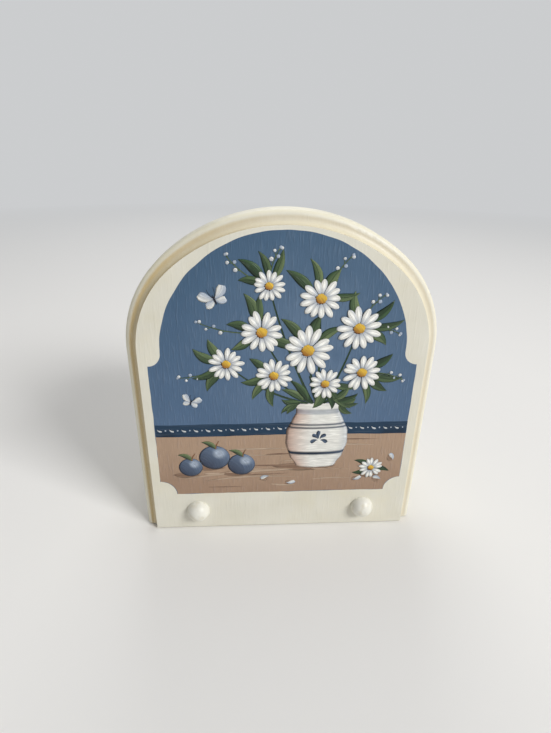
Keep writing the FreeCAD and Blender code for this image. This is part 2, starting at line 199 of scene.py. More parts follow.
roomSizes = {
    "sky": (0.96, 0.98, 1.0, 1),
    "skyStrength": 0.24,
    "backdrop": (0.60, 0.61, 0.62, 1),
    "floorColour": (0.86, 0.845, 0.82, 1),
    "floorRoughness": 0.8,
    "floorReach": 4.0,       # metres, like the next
    "fade": (0.35, 2.2),     # how far off the floor starts and ends turning into the backdrop
}


def seenDirectly(tree):
    # 1 for what the camera, a gloss or a glass sees
    path = shaderNode(tree, "LightPath").outputs
    share = calc(tree, "ADD", path["Is Camera Ray"], path["Is Glossy Ray"], True)
    return calc(tree, "ADD", share, path["Is Transmission Ray"], True)


def makeWorld(s):
    world = bpy.data.worlds.new("world")
    bpy.context.scene.world = world
    world.use_nodes = True
    tree = world.node_tree
    tree.nodes.clear()
    sky = shaderNode(tree, "Background", {"Color": s["sky"], "Strength": s["skyStrength"]})
    plain = shaderNode(tree, "Background", {"Color": s["backdrop"], "Strength": 1.0})
    mix = shaderNode(tree, "MixShader", {0: seenDirectly(tree), 1: sky.outputs[0], 2: plain.outputs[0]})
    shaderNode(tree, "OutputWorld", {"Surface": mix.outputs[0]})


def makeFloor(s):
    mesh = bpy.data.meshes.new("floor")
    r = s["floorReach"]
    mesh.from_pydata([(-r, -r, 0), (r, -r, 0), (r, r, 0), (-r, r, 0)], [], [(0, 1, 2, 3)])
    floor = newObject("floor", mesh)
    material, tree, shader, coords = newMaterial("floor", Base_Color=s["floorColour"],
                                                 Roughness=s["floorRoughness"])
    mesh.materials.append(material)
    far = shaderNode(tree, "VectorMath", {0: coords}, operation="LENGTH").outputs["Value"]
    share = times(tree, spread(tree, far, *s["fade"]), seenDirectly(tree))
    plain = shaderNode(tree, "Emission", {"Color": s["backdrop"], "Strength": 1.0})
    mix = shaderNode(tree, "MixShader", {0: share, 1: shader.outputs[0], 2: plain.outputs[0]})
    tree.links.new(mix.outputs[0], tree.nodes["Material Output"].inputs["Surface"])


makeWorld(roomSizes)
makeFloor(roomSizes)
bpy.context.scene.view_settings.view_transform = "Standard"
print("camera, lamps and floor made")


def newGroup(name, outputs, **inputs):
    # shared masks: inputs given with their first values, None for coordinates
    group = bpy.data.node_groups.new(name, "ShaderNodeTree")
    for socketName, start in inputs.items():
        kind = "NodeSocketFloat" if isinstance(start, float) else "NodeSocketVector"
        socket = group.interface.new_socket(name=socketName, in_out="INPUT", socket_type=kind)
        if start is not None:
            socket.default_value = start
    for socketName in outputs:
        group.interface.new_socket(name=socketName, in_out="OUTPUT", socket_type="NodeSocketFloat")
    return group, group.nodes.new("NodeGroupInput").outputs, group.nodes.new("NodeGroupOutput").inputs


def placeGroup(tree, group, **inputs):
    return shaderNode(tree, "Group", inputs, node_tree=group).outputs


brushSizes = {
    "wide": 0.12,             # scale of the broad lines and of the proud ones, against the fine ones
    "proud": 0.8,
    "wideShare": 0.3,
    "cloud": 38.0,
    "hairs": (0.3, 0.7),      # these three: the noise where a mark starts and where it is full
    "ridges": (0.52, 0.7),
    "cover": (0.3, 0.7),
    "low": 0.4,               # height of the hair lines against the ridges
}


def makeBrushMarks(s):
    # hair lines left by the brush, drawn out along one direction, and the cloudy coverage under them
    group, given, result = newGroup("brushMarks", ("Hairs", "Ridges", "Cover"),
                                    Coords=None, Stretch=(1000.0, 1000.0, 50.0), Seed=0.0)
    drawn, seed = stretched(group, given["Coords"], given["Stretch"]), given["Seed"]
    fine = noiseAt(group, drawn, 1.0, 3.0, seed, 0.6)
    wide = noiseAt(group, stretched(group, drawn, (s["wide"],) * 3), 1.0, 2.0, seed)
    proud = noiseAt(group, stretched(group, drawn, (s["proud"],) * 3), 1.0, 1.0, seed)
    cloud = noiseAt(group, given["Coords"], s["cloud"], 3.0, seed)
    give(group, result["Hairs"], spread(group, blendValues(group, s["wideShare"], fine, wide), *s["hairs"]))
    give(group, result["Ridges"], spread(group, proud, *s["ridges"]))
    give(group, result["Cover"], spread(group, cloud, *s["cover"]))
    return group


wearAndShadeSizes = {
    "sharp": (0.98, 0.80),      # likeness of rounded and true normal, where rubbing starts and is full
    "shut": (0.95, 0.45),       # openness where grime and painted shade start and are full
    "hollow": (0.99, 0.88),     # and where a hollow does
    "patches": 260.0,
    "rubbedPatches": (0.42, 0.62),
    "grimeAndShadePatches": (0.25, 0.6, 0.55, 1.0),
}


def makeWearAndShade(s):
    # rubbed corners, the grime that settles in grooves and seams together with painted shade there, and
    # every hollow
    group, given, result = newGroup("wearAndShade", ("Rubbed", "Grime", "Hollow"),
                                    Coords=None, Corner=0.0012, Reach=0.007)
    rounded = shaderNode(group, "Bevel", {"Radius": given["Corner"]}, samples=6)
    true = shaderNode(group, "NewGeometry").outputs["Normal"]
    same = shaderNode(group, "VectorMath", {0: rounded.outputs[0], 1: true}, operation="DOT_PRODUCT")
    corner = spread(group, same.outputs["Value"], *s["sharp"])
    openness = shaderNode(group, "AmbientOcclusion", {"Distance": given["Reach"]}, samples=8,
                          only_local=True).outputs["AO"]
    shut = spread(group, openness, *s["shut"])
    patchy = noiseAt(group, given["Coords"], s["patches"], 4.0)
    broken = times(group, corner, spread(group, patchy, *s["rubbedPatches"]))
    clear = calc(group, "SUBTRACT", 1.0, shut, True)
    give(group, result["Rubbed"], times(group, broken, clear))
    # grime and painted shade together, wherever ambient occlusion finds the surface shut in
    give(group, result["Grime"], times(group, shut, spread(group, patchy, *s["grimeAndShadePatches"])))
    give(group, result["Hollow"], spread(group, openness, *s["hollow"]))
    return group


grainSizes = {
    "sway": 30.0,             # scales of the noises that bend the rings, shade the board and make pores
    "cloud": 14.0,
    "pore": 2600.0,
    "ringShare": 0.09,
    "ring": (0.15, 0.95),
    "pores": (0.35, 0.7),
    "shade": (0.3, 0.7),
}


def makeWoodGrain(s):
    # growth rings cut along the board: lines drawn out along it, closer and wider by turns, and fine pores
    group, given, result = newGroup("woodGrain", ("Ring", "Pores", "Shade"),
                                    Coords=None, Stretch=(1.0, 0.06, 1.0), Rings=210.0, Seed=0.0)
    drawn = stretched(group, given["Coords"], given["Stretch"])
    sway = noiseAt(group, drawn, s["sway"], 2.0, given["Seed"])
    ring = calc(group, "FRACT", times(group, sway, times(group, given["Rings"], s["ringShare"])))
    pores = noiseAt(group, stretched(group, drawn, (s["pore"],) * 3), 1.0, 2.0)
    shade = noiseAt(group, drawn, s["cloud"], 2.0, given["Seed"])
    give(group, result["Ring"], spread(group, ring, *s["ring"]))
    give(group, result["Pores"], spread(group, pores, *s["pores"]))
    give(group, result["Shade"], spread(group, shade, *s["shade"]))
    return group


brushMarks = makeBrushMarks(brushSizes)
wearAndShade = makeWearAndShade(wearAndShadeSizes)
woodGrain = makeWoodGrain(grainSizes)


def raised(tree, marks):
    # low hair lines with a few proud ridges among them
    return calc(tree, "ADD", times(tree, marks["Hairs"], brushSizes["low"]), marks["Ridges"])


creamSizes = {
    "cream": tone(230, 227, 214),
    "thin": tone(222, 218, 202),       # where the coat is thin
    "edge": tone(238, 232, 209),       # lighter and yellower on the routed edges: painted highlight, and paint yellowed with age
    "edgeShare": 0.85,
    "yellowed": tone(232, 221, 180),
    "patchScale": 21.0,
    "patches": (0.5, 0.78, 0.0, 0.3),  # the noise where they start and are full, and their shares there
    "settledAndShade": tone(204, 178, 120),    # dust and old polish in the cove, with painted shade over them
    "dull": (-0.09, 0.0, 1.0, 0.25),   # more of it on the left, as painted shade on the side away from the lamp: between these x, these shares
    # painted shade in grooves and seams, together with grime
    "grime": tone(178, 152, 100),
    "grimeShare": 0.62,
    "rubbed": tone(237, 234, 220),
    "rubbedShare": 0.6,
    "hairLines": (0.955, 1.0),         # shade between the hair lines and on them, like the next
    "roughness": (0.36, 0.52),
    "depth": 0.000042,
    "gloss": (0.35, 0.1, 0.3),         # reflection, then the weight and roughness of a clear coat
}


def makeCreamPaint(name, stretch, s, seed=0.0, edgeStretch=None):
    material, tree, shader, coords = newPaint(name, s)
    marks = placeGroup(tree, brushMarks, Coords=coords, Stretch=stretch, Seed=seed)
    used = placeGroup(tree, wearAndShade, Coords=coords)
    colour = blendTones(tree, marks["Cover"], s["thin"], s["cream"])
    facing = axis(tree, shaderNode(tree, "NewGeometry").outputs["True Normal"], "Y")
    routed = spread(tree, calc(tree, "ABSOLUTE", facing), 0.98, 0.7)
    if edgeStretch:    # the brush ran along the routed edges
        flat = marks
        edge = placeGroup(tree, brushMarks, Coords=coords, Stretch=edgeStretch, Seed=seed + 1)
        marks = {key: blendValues(tree, routed, flat[key], edge[key]) for key in ("Hairs", "Ridges")}
    stain = noiseAt(tree, coords, s["patchScale"], 5.0, None, 0.7)
    # painted shade with dust in the hollows, more of it on the left
    hollow = times(tree, used["Hollow"], spread(tree, axis(tree, coords, "X"), *s["dull"]))
    # painted highlight with yellowed paint on the routed edges, random yellow stains, then painted shade
    # with dust in the hollows
    for share, over in ((times(tree, routed, s["edgeShare"]), s["edge"]),
                        (spread(tree, stain, *s["patches"]), s["yellowed"]),
                        (hollow, s["settledAndShade"])):
        colour = blendTones(tree, share, colour, over)
    colour = shaded(tree, colour, marks["Hairs"], *s["hairLines"])
    # grime with painted shade where the surface is shut in, then the rubbed corners
    for mask in ("Grime", "Rubbed"):
        key = mask.lower()
        colour = glazed(tree, colour, used[mask], s[key + "Share"], s[key])
    dress(tree, shader, colour, raised(tree, marks), marks["Hairs"], s)
    return material


uprightCream = makeCreamPaint("creamPaintUpright", (900.0, 900.0, 80.0), creamSizes, 0.0,
                              (45.0, 900.0, 45.0))
levelCream = makeCreamPaint("creamPaintLevel", (80.0, 900.0, 900.0), creamSizes, 3.0)
endCream = makeCreamPaint("creamPaintCheeks", (900.0, 80.0, 900.0), creamSizes, 5.0)

knobSizes = {
    "ivory": tone(233, 231, 220),
    "low": tone(224, 219, 201),
    # painted shade and grime round the knob's foot
    "grime": tone(160, 138, 92),
    "grimeShare": 0.5,
    "corner": 0.0006,
    "reach": 0.004,
    "dabScale": 260.0,
    "thin": (0.3, 0.5),           # the noise where the low colour ends and the ivory is full
    "dabs": (0.3, 0.7),           # the noise low and high on a dab, with the roughness there
    "roughness": (0.32, 0.46),
    "depth": 0.00025,
    "gloss": (0.4, 0.15, 0.25),
}


def makeKnobPaint(s):
    material, tree, shader, coords = newPaint("knobPaint", s)
    used = placeGroup(tree, wearAndShade, Coords=coords, Corner=s["corner"], Reach=s["reach"])
    dabs = noiseAt(tree, coords, s["dabScale"], 2.0)
    colour = blendTones(tree, spread(tree, dabs, *s["thin"]), s["low"], s["ivory"])
    # painted shade and grime where the knob meets the board
    colour = glazed(tree, colour, used["Grime"], s["grimeShare"], s["grime"])
    dress(tree, shader, colour, dabs, dabs, s, *s["dabs"])
    return material


knobPaint = makeKnobPaint(knobSizes)

pineSizes = {
    "early": tone(232, 203, 158),
    "late": tone(198, 154, 102),
    "lateShare": 0.75,
    "pore": tone(150, 108, 66),
    "poreShare": 0.25,
    # painted shade and soil in the corners and recesses
    "soilAndShade": tone(120, 92, 62),
    "soilAndShadeShare": 0.35,
    "shade": (0.86, 1.0),
    "corner": 0.0008,
    "reach": 0.005,
    "roughness": (0.72, 0.55),    # of early and of late wood
    "depth": 0.00006,
}


def makeBareWood(name, stretch, rings, s, seed=0.0):
    material, tree, shader, coords = newMaterial(name)
    grain = placeGroup(tree, woodGrain, Coords=coords, Stretch=stretch, Rings=rings, Seed=seed)
    used = placeGroup(tree, wearAndShade, Coords=coords, Corner=s["corner"], Reach=s["reach"])
    colour = glazed(tree, s["early"], grain["Ring"], s["lateShare"], s["late"])
    colour = glazed(tree, colour, grain["Pores"], s["poreShare"], s["pore"])
    colour = shaded(tree, colour, grain["Shade"], *s["shade"])
    # painted shade and soil where the wood is shut in
    colour = glazed(tree, colour, used["Grime"], s["soilAndShadeShare"], s["soilAndShade"])
    dress(tree, shader, colour, grain["Pores"], grain["Ring"], s)
    return material


sidePine = makeBareWood("barePineSides", (1.0, 0.05, 1.0), 300.0, pineSizes)
backPine = makeBareWood("barePineBack", (0.05, 1.0, 1.0), 300.0, pineSizes, 4.0)
plySizes = dict(pineSizes, early=tone(222, 190, 146), late=tone(200, 160, 112))
plywood = makeBareWood("plywoodSheet", (0.25, 0.12, 1.0), 120.0, plySizes, 7.0)

steelSizes = {
    "bright": (0.62, 0.61, 0.57, 1),
    "dull": (0.42, 0.41, 0.38, 1),
    "bloomScale": 700.0,
    "bloom": (0.35, 0.65),
    "roughness": (0.5, 0.28),
    "depth": 0.00003,
}


def makeSteel(name, s):
    material, tree, shader, coords = newMaterial(name, Metallic=1.0)
    bloom = noiseAt(tree, coords, s["bloomScale"], 4.0)
    share = spread(tree, bloom, *s["bloom"])
    colour = blendTones(tree, share, s["dull"], s["bright"])
    dress(tree, shader, colour, bloom, share, s)
    return material


screwSteel = makeSteel("screwSteel", steelSizes)
bradSteel = makeSteel("bradSteel", dict(steelSizes, bright=(0.5, 0.5, 0.5, 1)))

finishes = {
    "drawer_front back_panel": uprightCream,
    "base_board napkin_shelf": levelCream,
    "carcass_side_left carcass_side_right": endCream,
    "drawer_side_left drawer_side_right": sidePine,
    "drawer_back": backPine,
    "drawer_bottom": plywood,
    "knobs": knobPaint,
    "knob_screws": screwSteel,
    "back_brads shelf_brads base_brads drawer_brads": bradSteel,
}
for names, finish in finishes.items():
    for name in names.split():
        mesh = nodes[name].data
        mesh.materials.clear()
        mesh.materials.append(finish)
print("paints, woods and steel on the carried-over pieces")


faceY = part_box("drawer_front")[0].y    # the layers of paint lie in front of this
random = Random(7)

chart = {
    "white": tone(240, 239, 232),
    "shadeWhite": tone(150, 163, 182),
    "rose": tone(203, 174, 158),
    "navy": tone(17, 37, 56),
    "slate": tone(98, 116, 141),
    "mist": tone(176, 188, 204),
    "dusk": tone(48, 56, 76),
    "darkGreen": tone(27, 46, 30),
    "green": tone(58, 86, 54),
    "lightGreen": tone(118, 134, 92),
    "yellow": tone(226, 184, 66),
    "ochre": tone(160, 104, 38),
    "tan": tone(168, 140, 118),
    "lightTan": tone(214, 192, 168),
    "darkTan": tone(128, 100, 80),
    "black": tone(24, 24, 27),
}
panelSizes = {
    "halfWidth": 77.0,
    "bottom": 28.5,
    "scoop": 10.0,        # hollow corners at the bottom
    "shoulder": 119.0,    # where the sides step in
    "step": 7.5,
    "crown": 194.0,
    "table": 72.5,        # the table's far edge
    "band": 8.5,
    "inset": 0.2,         # of band and table inside the wall's outline
    "coats": [            # name, paint, level, thickness, unsteadiness of the hand and its seed
        ("paintedWall", "wallPaint", 0.0, 0.06, 0.35, 1.0),
        ("paintedBand", "bandPaint", 0.06, 0.04, 0.2, 3.0),
        ("paintedTable", "tablePaint", 0.1, 0.06, 0.25, 5.0),
    ],
}
paintSizes = {
    "relief": 0.5,            # how proud the paint stands, against the levels given to each stroke
    "round": 2.2,             # the power by which a stroke falls off to its sides
    "ends": (8, 0.1),         # how steeply its ends rise, and from what share of its thickness
    "shift": (0.61, 0.37),    # sets the hair lines of each stroke apart from the next one's
    "ground": {
        "lines": (0.9, 1.05),
        "ridges": 0.045,
        "roughness": (0.34, 0.5),
        "depth": 0.00012,
        "gloss": (0.25, 0.05, 0.35),
        "cloud": 0.02,    # metres up or down by which the coverage shifts the colours
    },
    "stroke": {
        "lines": (0.70, 1.12),
        "ridges": (1.0, 1.3),
        "roughness": (0.3, 0.46),
        "depth": 0.00014,
        "gloss": (0.3, 0.1, 0.3),
    },
}


def mixTone(first, second, share):
    # colours go by their names on the chart, or as they are
    share = min(max(share, 0.0), 1.0)
    return tuple(a + (b - a) * share for a, b in zip(chart.get(first, first), chart.get(second, second)))


def lifted(level):
    return faceY - level * paintSizes["relief"] * mm


def onFace(x, z, level):
    return x * mm, lifted(level), z * mm


def arc(x, z, wide, high, start, sweep, count):
    turns = [math.radians(start + sweep * n / count) for n in range(count + 1)]
    return [(x + wide * math.cos(a), z + high * math.sin(a)) for a in turns]


def panelOutline(s, inset=0.0):
    # right half from the bottom to the crown, then mirrored: hollow corners, straight sides, a step, an arch
    half, low, scoop, step = s["halfWidth"] - inset, s["bottom"] + inset, s["scoop"], s["step"]
    spring, apart = s["shoulder"] + step, 2
    points = [(x, low) for x in range(0, int(half - scoop), apart)]
    points += arc(half, low, scoop, scoop, 180, -90, 12)
    z = low + scoop + apart
    while z < s["shoulder"] - 1:
        points.append((half, z))
        z += apart
    points += arc(half, spring, step, step, 270, -90, 12)
    points += arc(0, spring, half - step, s["crown"] - inset - spring, 0, 90, 60)[1:]
    return points + [(-x, z) for x, z in reversed(points[1:-1])]


def cutAbove(points, level, apart=1.5):
    # the part of an outline under the wavering line that level gives
    def gap(p):
        return level(p[0]) - p[1]
    kept = []
    for here, after in zip(points, points[1:] + points[:1]):
        under = gap(here) >= 0
        if under:
            kept.append(here)
        if under != (gap(after) >= 0):
            t = gap(here) / (gap(here) - gap(after))
            if under:
                leaving = len(kept)
            else:
                entering = len(kept)
            kept.append((here[0] + (after[0] - here[0]) * t, here[1] + (after[1] - here[1]) * t))
    start, finish = kept[leaving][0], kept[entering][0]
    steps = int(abs(start - finish) / apart)
    across = [start + (finish - start) * n / steps for n in range(1, steps)]
    return kept[:leaving + 1] + [(x, level(x)) for x in across] + kept[leaving + 1:]


def wobbled(points, amount, seed):
    def shift(x, z, salt):
        return amount * noise.noise(Vector((x * 0.12, z * 0.12, seed + salt)))
    return [(x + shift(x, z, 0), z + shift(x, z, 10)) for x, z in points]


def meshFrom(name, bm):
    mesh = bpy.data.meshes.new(name)
    bm.to_mesh(mesh)
    bm.free()
    return mesh


def keepPiece(name, mesh, body="drawer", slot="painted_front"):
    piece = newObject(name, mesh)
    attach(piece, body)


def finishPaint(name, bm, material):
    mesh = meshFrom(name, bm)
    mesh.materials.append(material)
    keepPiece(name, mesh)


def joinLoops(bm, loops):
    # a band of faces from each closed loop of points to the next
    return [bm.faces.new(corners) for low, high in zip(loops, loops[1:])
            for corners in zip(low, low[1:] + low[:1], high[1:] + high[:1], high)]


coatSizes = {
    "rim": 0.3,       # width of the bevelled edge
    "sink": 0.05,     # how far the underside lies in the board
    "pitch": 6.0,
    "clear": 2.5,     # least distance of a grid point from the outline
}


def fillSheet(bm, ring, outline, y=None):
    # triangles across an outline; given y, over a grid of points inside it, so that none is a sliver
    count, spots = len(ring), [Vector(p) for p in outline]
    if y is not None:
        pitch = coatSizes["pitch"]
        reach = [[p[k] / pitch for p in spots] for k in (0, 1)]
        columns, rows = (range(int(min(values)), int(max(values)) + 1) for values in reach)
        grid = [Vector(((n + 0.5 * (m % 2)) * pitch, m * pitch)) for n in columns for m in rows]
        spots += [g for g in grid if min((g - p).length for p in spots[:count]) > coatSizes["clear"]]
    edges = [(n, (n + 1) % count) for n in range(count)]
    places, _, faces, given, _, _ = delaunay_2d_cdt(spots, edges, [], 1, 0.001)
    verts = {}

    def vertAt(n):
        if n not in verts:
            known = [k for k in given[n] if k < count]
            verts[n] = ring[known[0]] if known else bm.verts.new((places[n].x * mm, y, places[n].y * mm))
        return verts[n]
    return [bm.faces.new([vertAt(n) for n in face]) for face in faces]


def makeCoat(name, points, level, thick, material):
    # a flat coat of paint with a low bevelled rim
    bm = bmesh.new()
    rim, top = coatSizes["rim"], lifted(level + thick)
    points = [p for n, p in enumerate(points) if math.dist(p, points[n - 1]) > 2 * rim]
    inner = []
    for (x0, z0), (x, z), (x1, z1) in zip(points[-1:] + points, points, points[1:] + points[:1]):
        side = Vector((z0 - z1, x1 - x0)).normalized()
        inner.append((x + side.x * rim, z + side.y * rim))
    low = [bm.verts.new((x * mm, faceY + coatSizes["sink"] * mm, z * mm)) for x, z in points]
    high = [bm.verts.new((x * mm, top, z * mm)) for x, z in inner]
    joinLoops(bm, [low, high])
    fillSheet(bm, high, inner, top)
    bmesh.ops.reverse_faces(bm, faces=fillSheet(bm, low, points))
    finishPaint(name, bm, material)


groundSizes = {    # colours low down and high up, and the heights that they stand for
    "wallPaint": {
        "tones": (tone(84, 109, 139), tone(69, 97, 124)),
        "heights": (80, 185),
        "stretch": (1000.0, 1000.0, 140.0),
        "glow": {"place": (14, -50, 130), "near": 22, "far": 74, "share": 0.42,
                 "cloudy": (0.25, 1.0), "colour": tone(124, 144, 168)},
    },
    "tablePaint": {
        "tones": (tone(158, 130, 109), tone(174, 147, 124)),
        "heights": (30, 72),
        "stretch": (1000.0, 1000.0, 140.0),
    },
    "bandPaint": {
        "tones": (tone(14, 33, 50), tone(32, 58, 82)),
        "heights": (73, 83),
        "stretch": (60.0, 1000.0, 900.0),
    },
}


def makeGroundPaint(name, s):
    hairs = paintSizes["ground"]
    material, tree, shader, coords = newPaint(name, hairs)
    marks = placeGroup(tree, brushMarks, Coords=coords, Stretch=s["stretch"], Seed=2.0)
    height = calc(tree, "ADD", axis(tree, coords, "Z"), times(tree, marks["Cover"], hairs["cloud"]))
    colour = blendTones(tree, spread(tree, height, *(z * mm for z in s["heights"])), *s["tones"])
    if "glow" in s:
        glow, place = s["glow"], Vector(s["glow"]["place"]) * mm
        away = shaderNode(tree, "VectorMath", {0: coords, 1: place}, operation="DISTANCE").outputs["Value"]
        share = spread(tree, away, glow["near"] * mm, glow["far"] * mm, 1.0, 0.0)
        share = times(tree, share, spread(tree, marks["Cover"], 0.0, 1.0, *glow["cloudy"]))
        colour = glazed(tree, colour, share, glow["share"], glow["colour"])
    colour = shaded(tree, colour, marks["Hairs"], *hairs["lines"])
    colour = glazed(tree, colour, marks["Ridges"], hairs["ridges"], chart["mist"])
    dress(tree, shader, colour, raised(tree, marks), marks["Hairs"], hairs)
    return material


groundPaints = {name: makeGroundPaint(name, sizes) for name, sizes in groundSizes.items()}


def tableEdge(x):
    return panelSizes["table"] + 0.4 * math.sin(x * 0.05 + 1.0)


def bandTop(x):
    return tableEdge(x) + panelSizes["band"] + 0.25 * math.sin(x * 0.11)


innerLine = panelOutline(panelSizes, panelSizes["inset"])
lines = [panelOutline(panelSizes), cutAbove(innerLine, bandTop), cutAbove(innerLine, tableEdge)]
for line, (name, paint, level, thick, wobble, seed) in zip(lines, panelSizes["coats"]):
    makeCoat(name, wobbled(line, wobble, seed), level, thick, groundPaints[paint])
print("panel grounds painted")


def makeStrokePaint(s):
    material, tree, shader, _ = newPaint("strokePaint", s)
    colour = shaderNode(tree, "Attribute", attribute_name="paintColour").outputs["Color"]
    along = shaderNode(tree, "UVMap", uv_map="strokeUV").outputs["UV"]
    marks = placeGroup(tree, brushMarks, Coords=along, Stretch=(9.0, 1.4, 1.0), Seed=4.0)
    colour = shaded(tree, colour, marks["Hairs"], *s["lines"])
    colour = shaded(tree, colour, marks["Ridges"], *s["ridges"])
    dress(tree, shader, colour, raised(tree, marks), marks["Hairs"], s)
    return material


strokePaint = makeStrokePaint(paintSizes["stroke"])


def newStrokes():
    bm = bmesh.new()
    return bm, bm.verts.layers.float_color.new("paintColour"), bm.loops.layers.uv.new("strokeUV")


def addSurface(layers, rows):
    # rows of (place, colour, uv) from one end of a stroke to the other, with a flat underside
    bm, colourLayer, uvLayer = layers
    grid, marks = [], {}
    for row in rows:
        line = []
        for place, colour, uv in row:
            vert = bm.verts.new(place)
            vert[colourLayer] = colour
            marks[vert] = uv
            line.append(vert)
        grid.append(line)
    for face in joinLoops(bm, grid) + [bm.faces.new(grid[0][::-1]), bm.faces.new(grid[-1])]:
        face.smooth = True
        for loop in face.loops:
            loop[uvLayer].uv = marks[loop.vert]


def addStroke(layers, path, widths, level, thick, tones, columns=5):
    # path in millimetres on the face, half widths along it, tones(t, u) with t along and u across
    rows = []
    length = 0.0
    slope, lip = paintSizes["ends"]
    shiftX, shiftZ = paintSizes["shift"]
    for n, (x, z) in enumerate(path):
        before, after = path[max(n - 1, 0)], path[min(n + 1, len(path) - 1)]
        ahead = Vector((after[0] - before[0], after[1] - before[1])).normalized()
        if n:
            length += math.dist(path[n - 1], path[n])
        t = n / (len(path) - 1)
        end = min(1.0, slope * t + lip, slope * (1 - t) + lip)
        row = []
        for column in range(columns + 1):
            u = 1 - 2 * column / columns
            crown = thick * (1 - abs(u) ** paintSizes["round"]) * end
            place = onFace(x - ahead.y * widths[n] * u, z + ahead.x * widths[n] * u, level + crown)
            uv = (0.5 * u + shiftX * path[0][0], length / 10 + shiftZ * path[0][1])
            row.append((place, tones(t, u), uv))
        rows.append(row)
    addSurface(layers, rows)


def bendPath(start, finish, bow, count=9):
    # from start to finish with its middle pushed sideways by bow
    ahead = Vector(finish) - Vector(start)
    side = Vector((-ahead.y, ahead.x)).normalized() * bow
    shares = [n / (count - 1) for n in range(count)]
    return [tuple(Vector(start) + ahead * t + side * 4 * t * (1 - t)) for t in shares]


def commaWidths(full, count):
    # half widths along a stroke with a round head and a thin tail
    return [max(0.08, full * math.sin(math.pi * min(1.0, (n / (count - 1)) * 0.86 + 0.14) ** 0.75))
            for n in range(count)]


def leafWidths(full, count):
    return [max(0.06, full * math.sin(math.pi * (n / (count - 1)) ** 0.8) ** 0.9) for n in range(count)]


def lineWidths(full, count):
    return [full * (1 - 0.55 * n / (count - 1)) for n in range(count)]


def bowlWidths(full, count):
    return [max(0.1, full * math.sin(math.pi * n / (count - 1)) ** 0.5) for n in range(count)]


def brush(layers, kind, start, finish, bow, grow=1.0):
    # one stroke of a kind: shape, half width, level, thickness, tones, then points along and strips across
    def paint(shape, half, level, thick, tones, count=9, columns=5):
        path = bendPath(start, finish, bow, count)
        addStroke(layers, path, shape(half * grow, count), level, thick, tones, columns)
    paint(*kind)


def paintPiece(name, paint, s):
    # what paint lays on, kept as one piece
    layers = newStrokes()
    paint(layers, s)
    finishPaint(name, layers[0], strokePaint)


def twoTone(first, second, tip=None):
    # first on one side of the stroke, second on the other, and tip towards its end
    def pick(t, u):
        colour = mixTone(first, second, 0.5 + 0.62 * u)
        return mixTone(colour, tip, max(0.0, t - 0.55) * 1.6) if tip else colour
    return pick


def evenTone(name):
    return lambda *place: chart[name]


petalTones = twoTone("white", "mist", "shadeWhite")
tableShade = twoTone("darkTan", "tan")


def polar(x, z, angle, length):
    a = math.radians(angle)
    return (x + length * math.cos(a), z + length * math.sin(a))


crockSizes = {
    "centre": 21.0,
    "foot": 48.0,
    "height": 44.5,
    "profile": [(0.0, 12.4), (0.05, 13.2), (0.16, 16.4), (0.38, 19.2), (0.58, 18.8),
                (0.76, 15.4), (0.86, 13.2), (0.93, 13.4), (0.97, 15.0), (1.0, 15.4)],
    "bands": [(0.22, 0.25), (0.28, 0.295), (0.64, 0.655), (0.68, 0.71)],
    "rows": 40,
    "columns": 20,
    "level": 0.22,
    "belly": 0.16,        # how much higher its middle stands
    "sag": (1.9, 1.5),    # how far the middles of its rows hang at the foot and at the rim
    "shadow": (leafWidths, 3.0, 0.17, 0.04,
               lambda t, u: mixTone("darkTan", "tan", abs(u) ** 1.5 * 0.8 + 0.1)),
    "shadowEnds": [(-27, 1.0), (13, 0.4)],       # from the middle of its foot
    "mouth": (bowlWidths, 2.6, 0.19, 0.03, lambda t, u: mixTone("dusk", "shadeWhite", t * 0.7), 13),
    "mouthEnds": [(-15.1, 1.4), (15.1, 1.4)],    # from the middle of its top
    "sprig": (commaWidths, 1.25, 0.42, 0.12, twoTone("navy", "slate")),
    "sprigPlace": (1.5, 0.46),                   # across, and its share of the height
    "sprigEnds": [(90, 6.2), (38, 5.4), (142, 5.4), (-25, 5.4), (205, 5.4)],    # angle and distance
    "sprigBow": 0.7,
}


def widthAt(profile, share):
    for (s0, w0), (s1, w1) in zip(profile, profile[1:]):
        if share <= s1:
            t = (share - s0) / (s1 - s0)
            t = t * t * (3 - 2 * t) * 0.35 + t * 0.65
            return w0 + (w1 - w0) * t
    return profile[-1][1]


def crockTone(share, u, bands):
    # share up the crock, u across it
    if any(low <= share <= high for low, high in bands):
        return mixTone("navy", "slate", max(0.0, u) * 0.5)
    colour = mixTone("rose", "white", (u + 1.0) * 1.35 - 0.1)
    colour = mixTone(colour, "shadeWhite", max(0.0, u - 0.72) * 1.6)
    colour = mixTone(colour, "darkTan", max(0.0, -0.78 - u) * 1.6)
    if share > 0.94:
        return mixTone(colour, "white", 0.7)
    return mixTone(colour, "slate", 0.5) if 0.87 < share < 0.94 else colour


def paintCrock(layers, s):
    middle, foot, tall = s["centre"], s["foot"], s["height"]
    brush(layers, s["shadow"], *[(middle + x, foot + z) for x, z in s["shadowEnds"]], -0.5)
    rows = []
    for n in range(s["rows"] + 1):
        share = n / s["rows"]
        half, sag = widthAt(s["profile"], share), s["sag"][0] + (s["sag"][1] - s["sag"][0]) * share
        row = []
        for column in range(s["columns"] + 1):
            u = -1 + 2 * column / s["columns"]
            turn = math.sqrt(max(0.0, 1 - u * u))
            x, z = middle + half * u, foot + tall * share - sag * turn + s["sag"][1]
            place = onFace(x, z, s["level"] + s["belly"] * turn)
            row.append((place, crockTone(share, u, s["bands"]), (z / 5, x / 10)))
        rows.append(row)
    addSurface(layers, rows)
    brush(layers, s["mouth"], *[(middle + x, foot + tall + z) for x, z in s["mouthEnds"]], 0.0)
    x, z = middle + s["sprigPlace"][0], foot + s["sprigPlace"][1] * tall
    for angle, length in s["sprigEnds"]:
        bow = s["sprigBow"] if angle > 90 else -s["sprigBow"]
        brush(layers, s["sprig"], polar(x, z, angle, length), polar(x, z, angle, 0.8), bow)


paintPiece("paintedCrock", paintCrock, crockSizes)

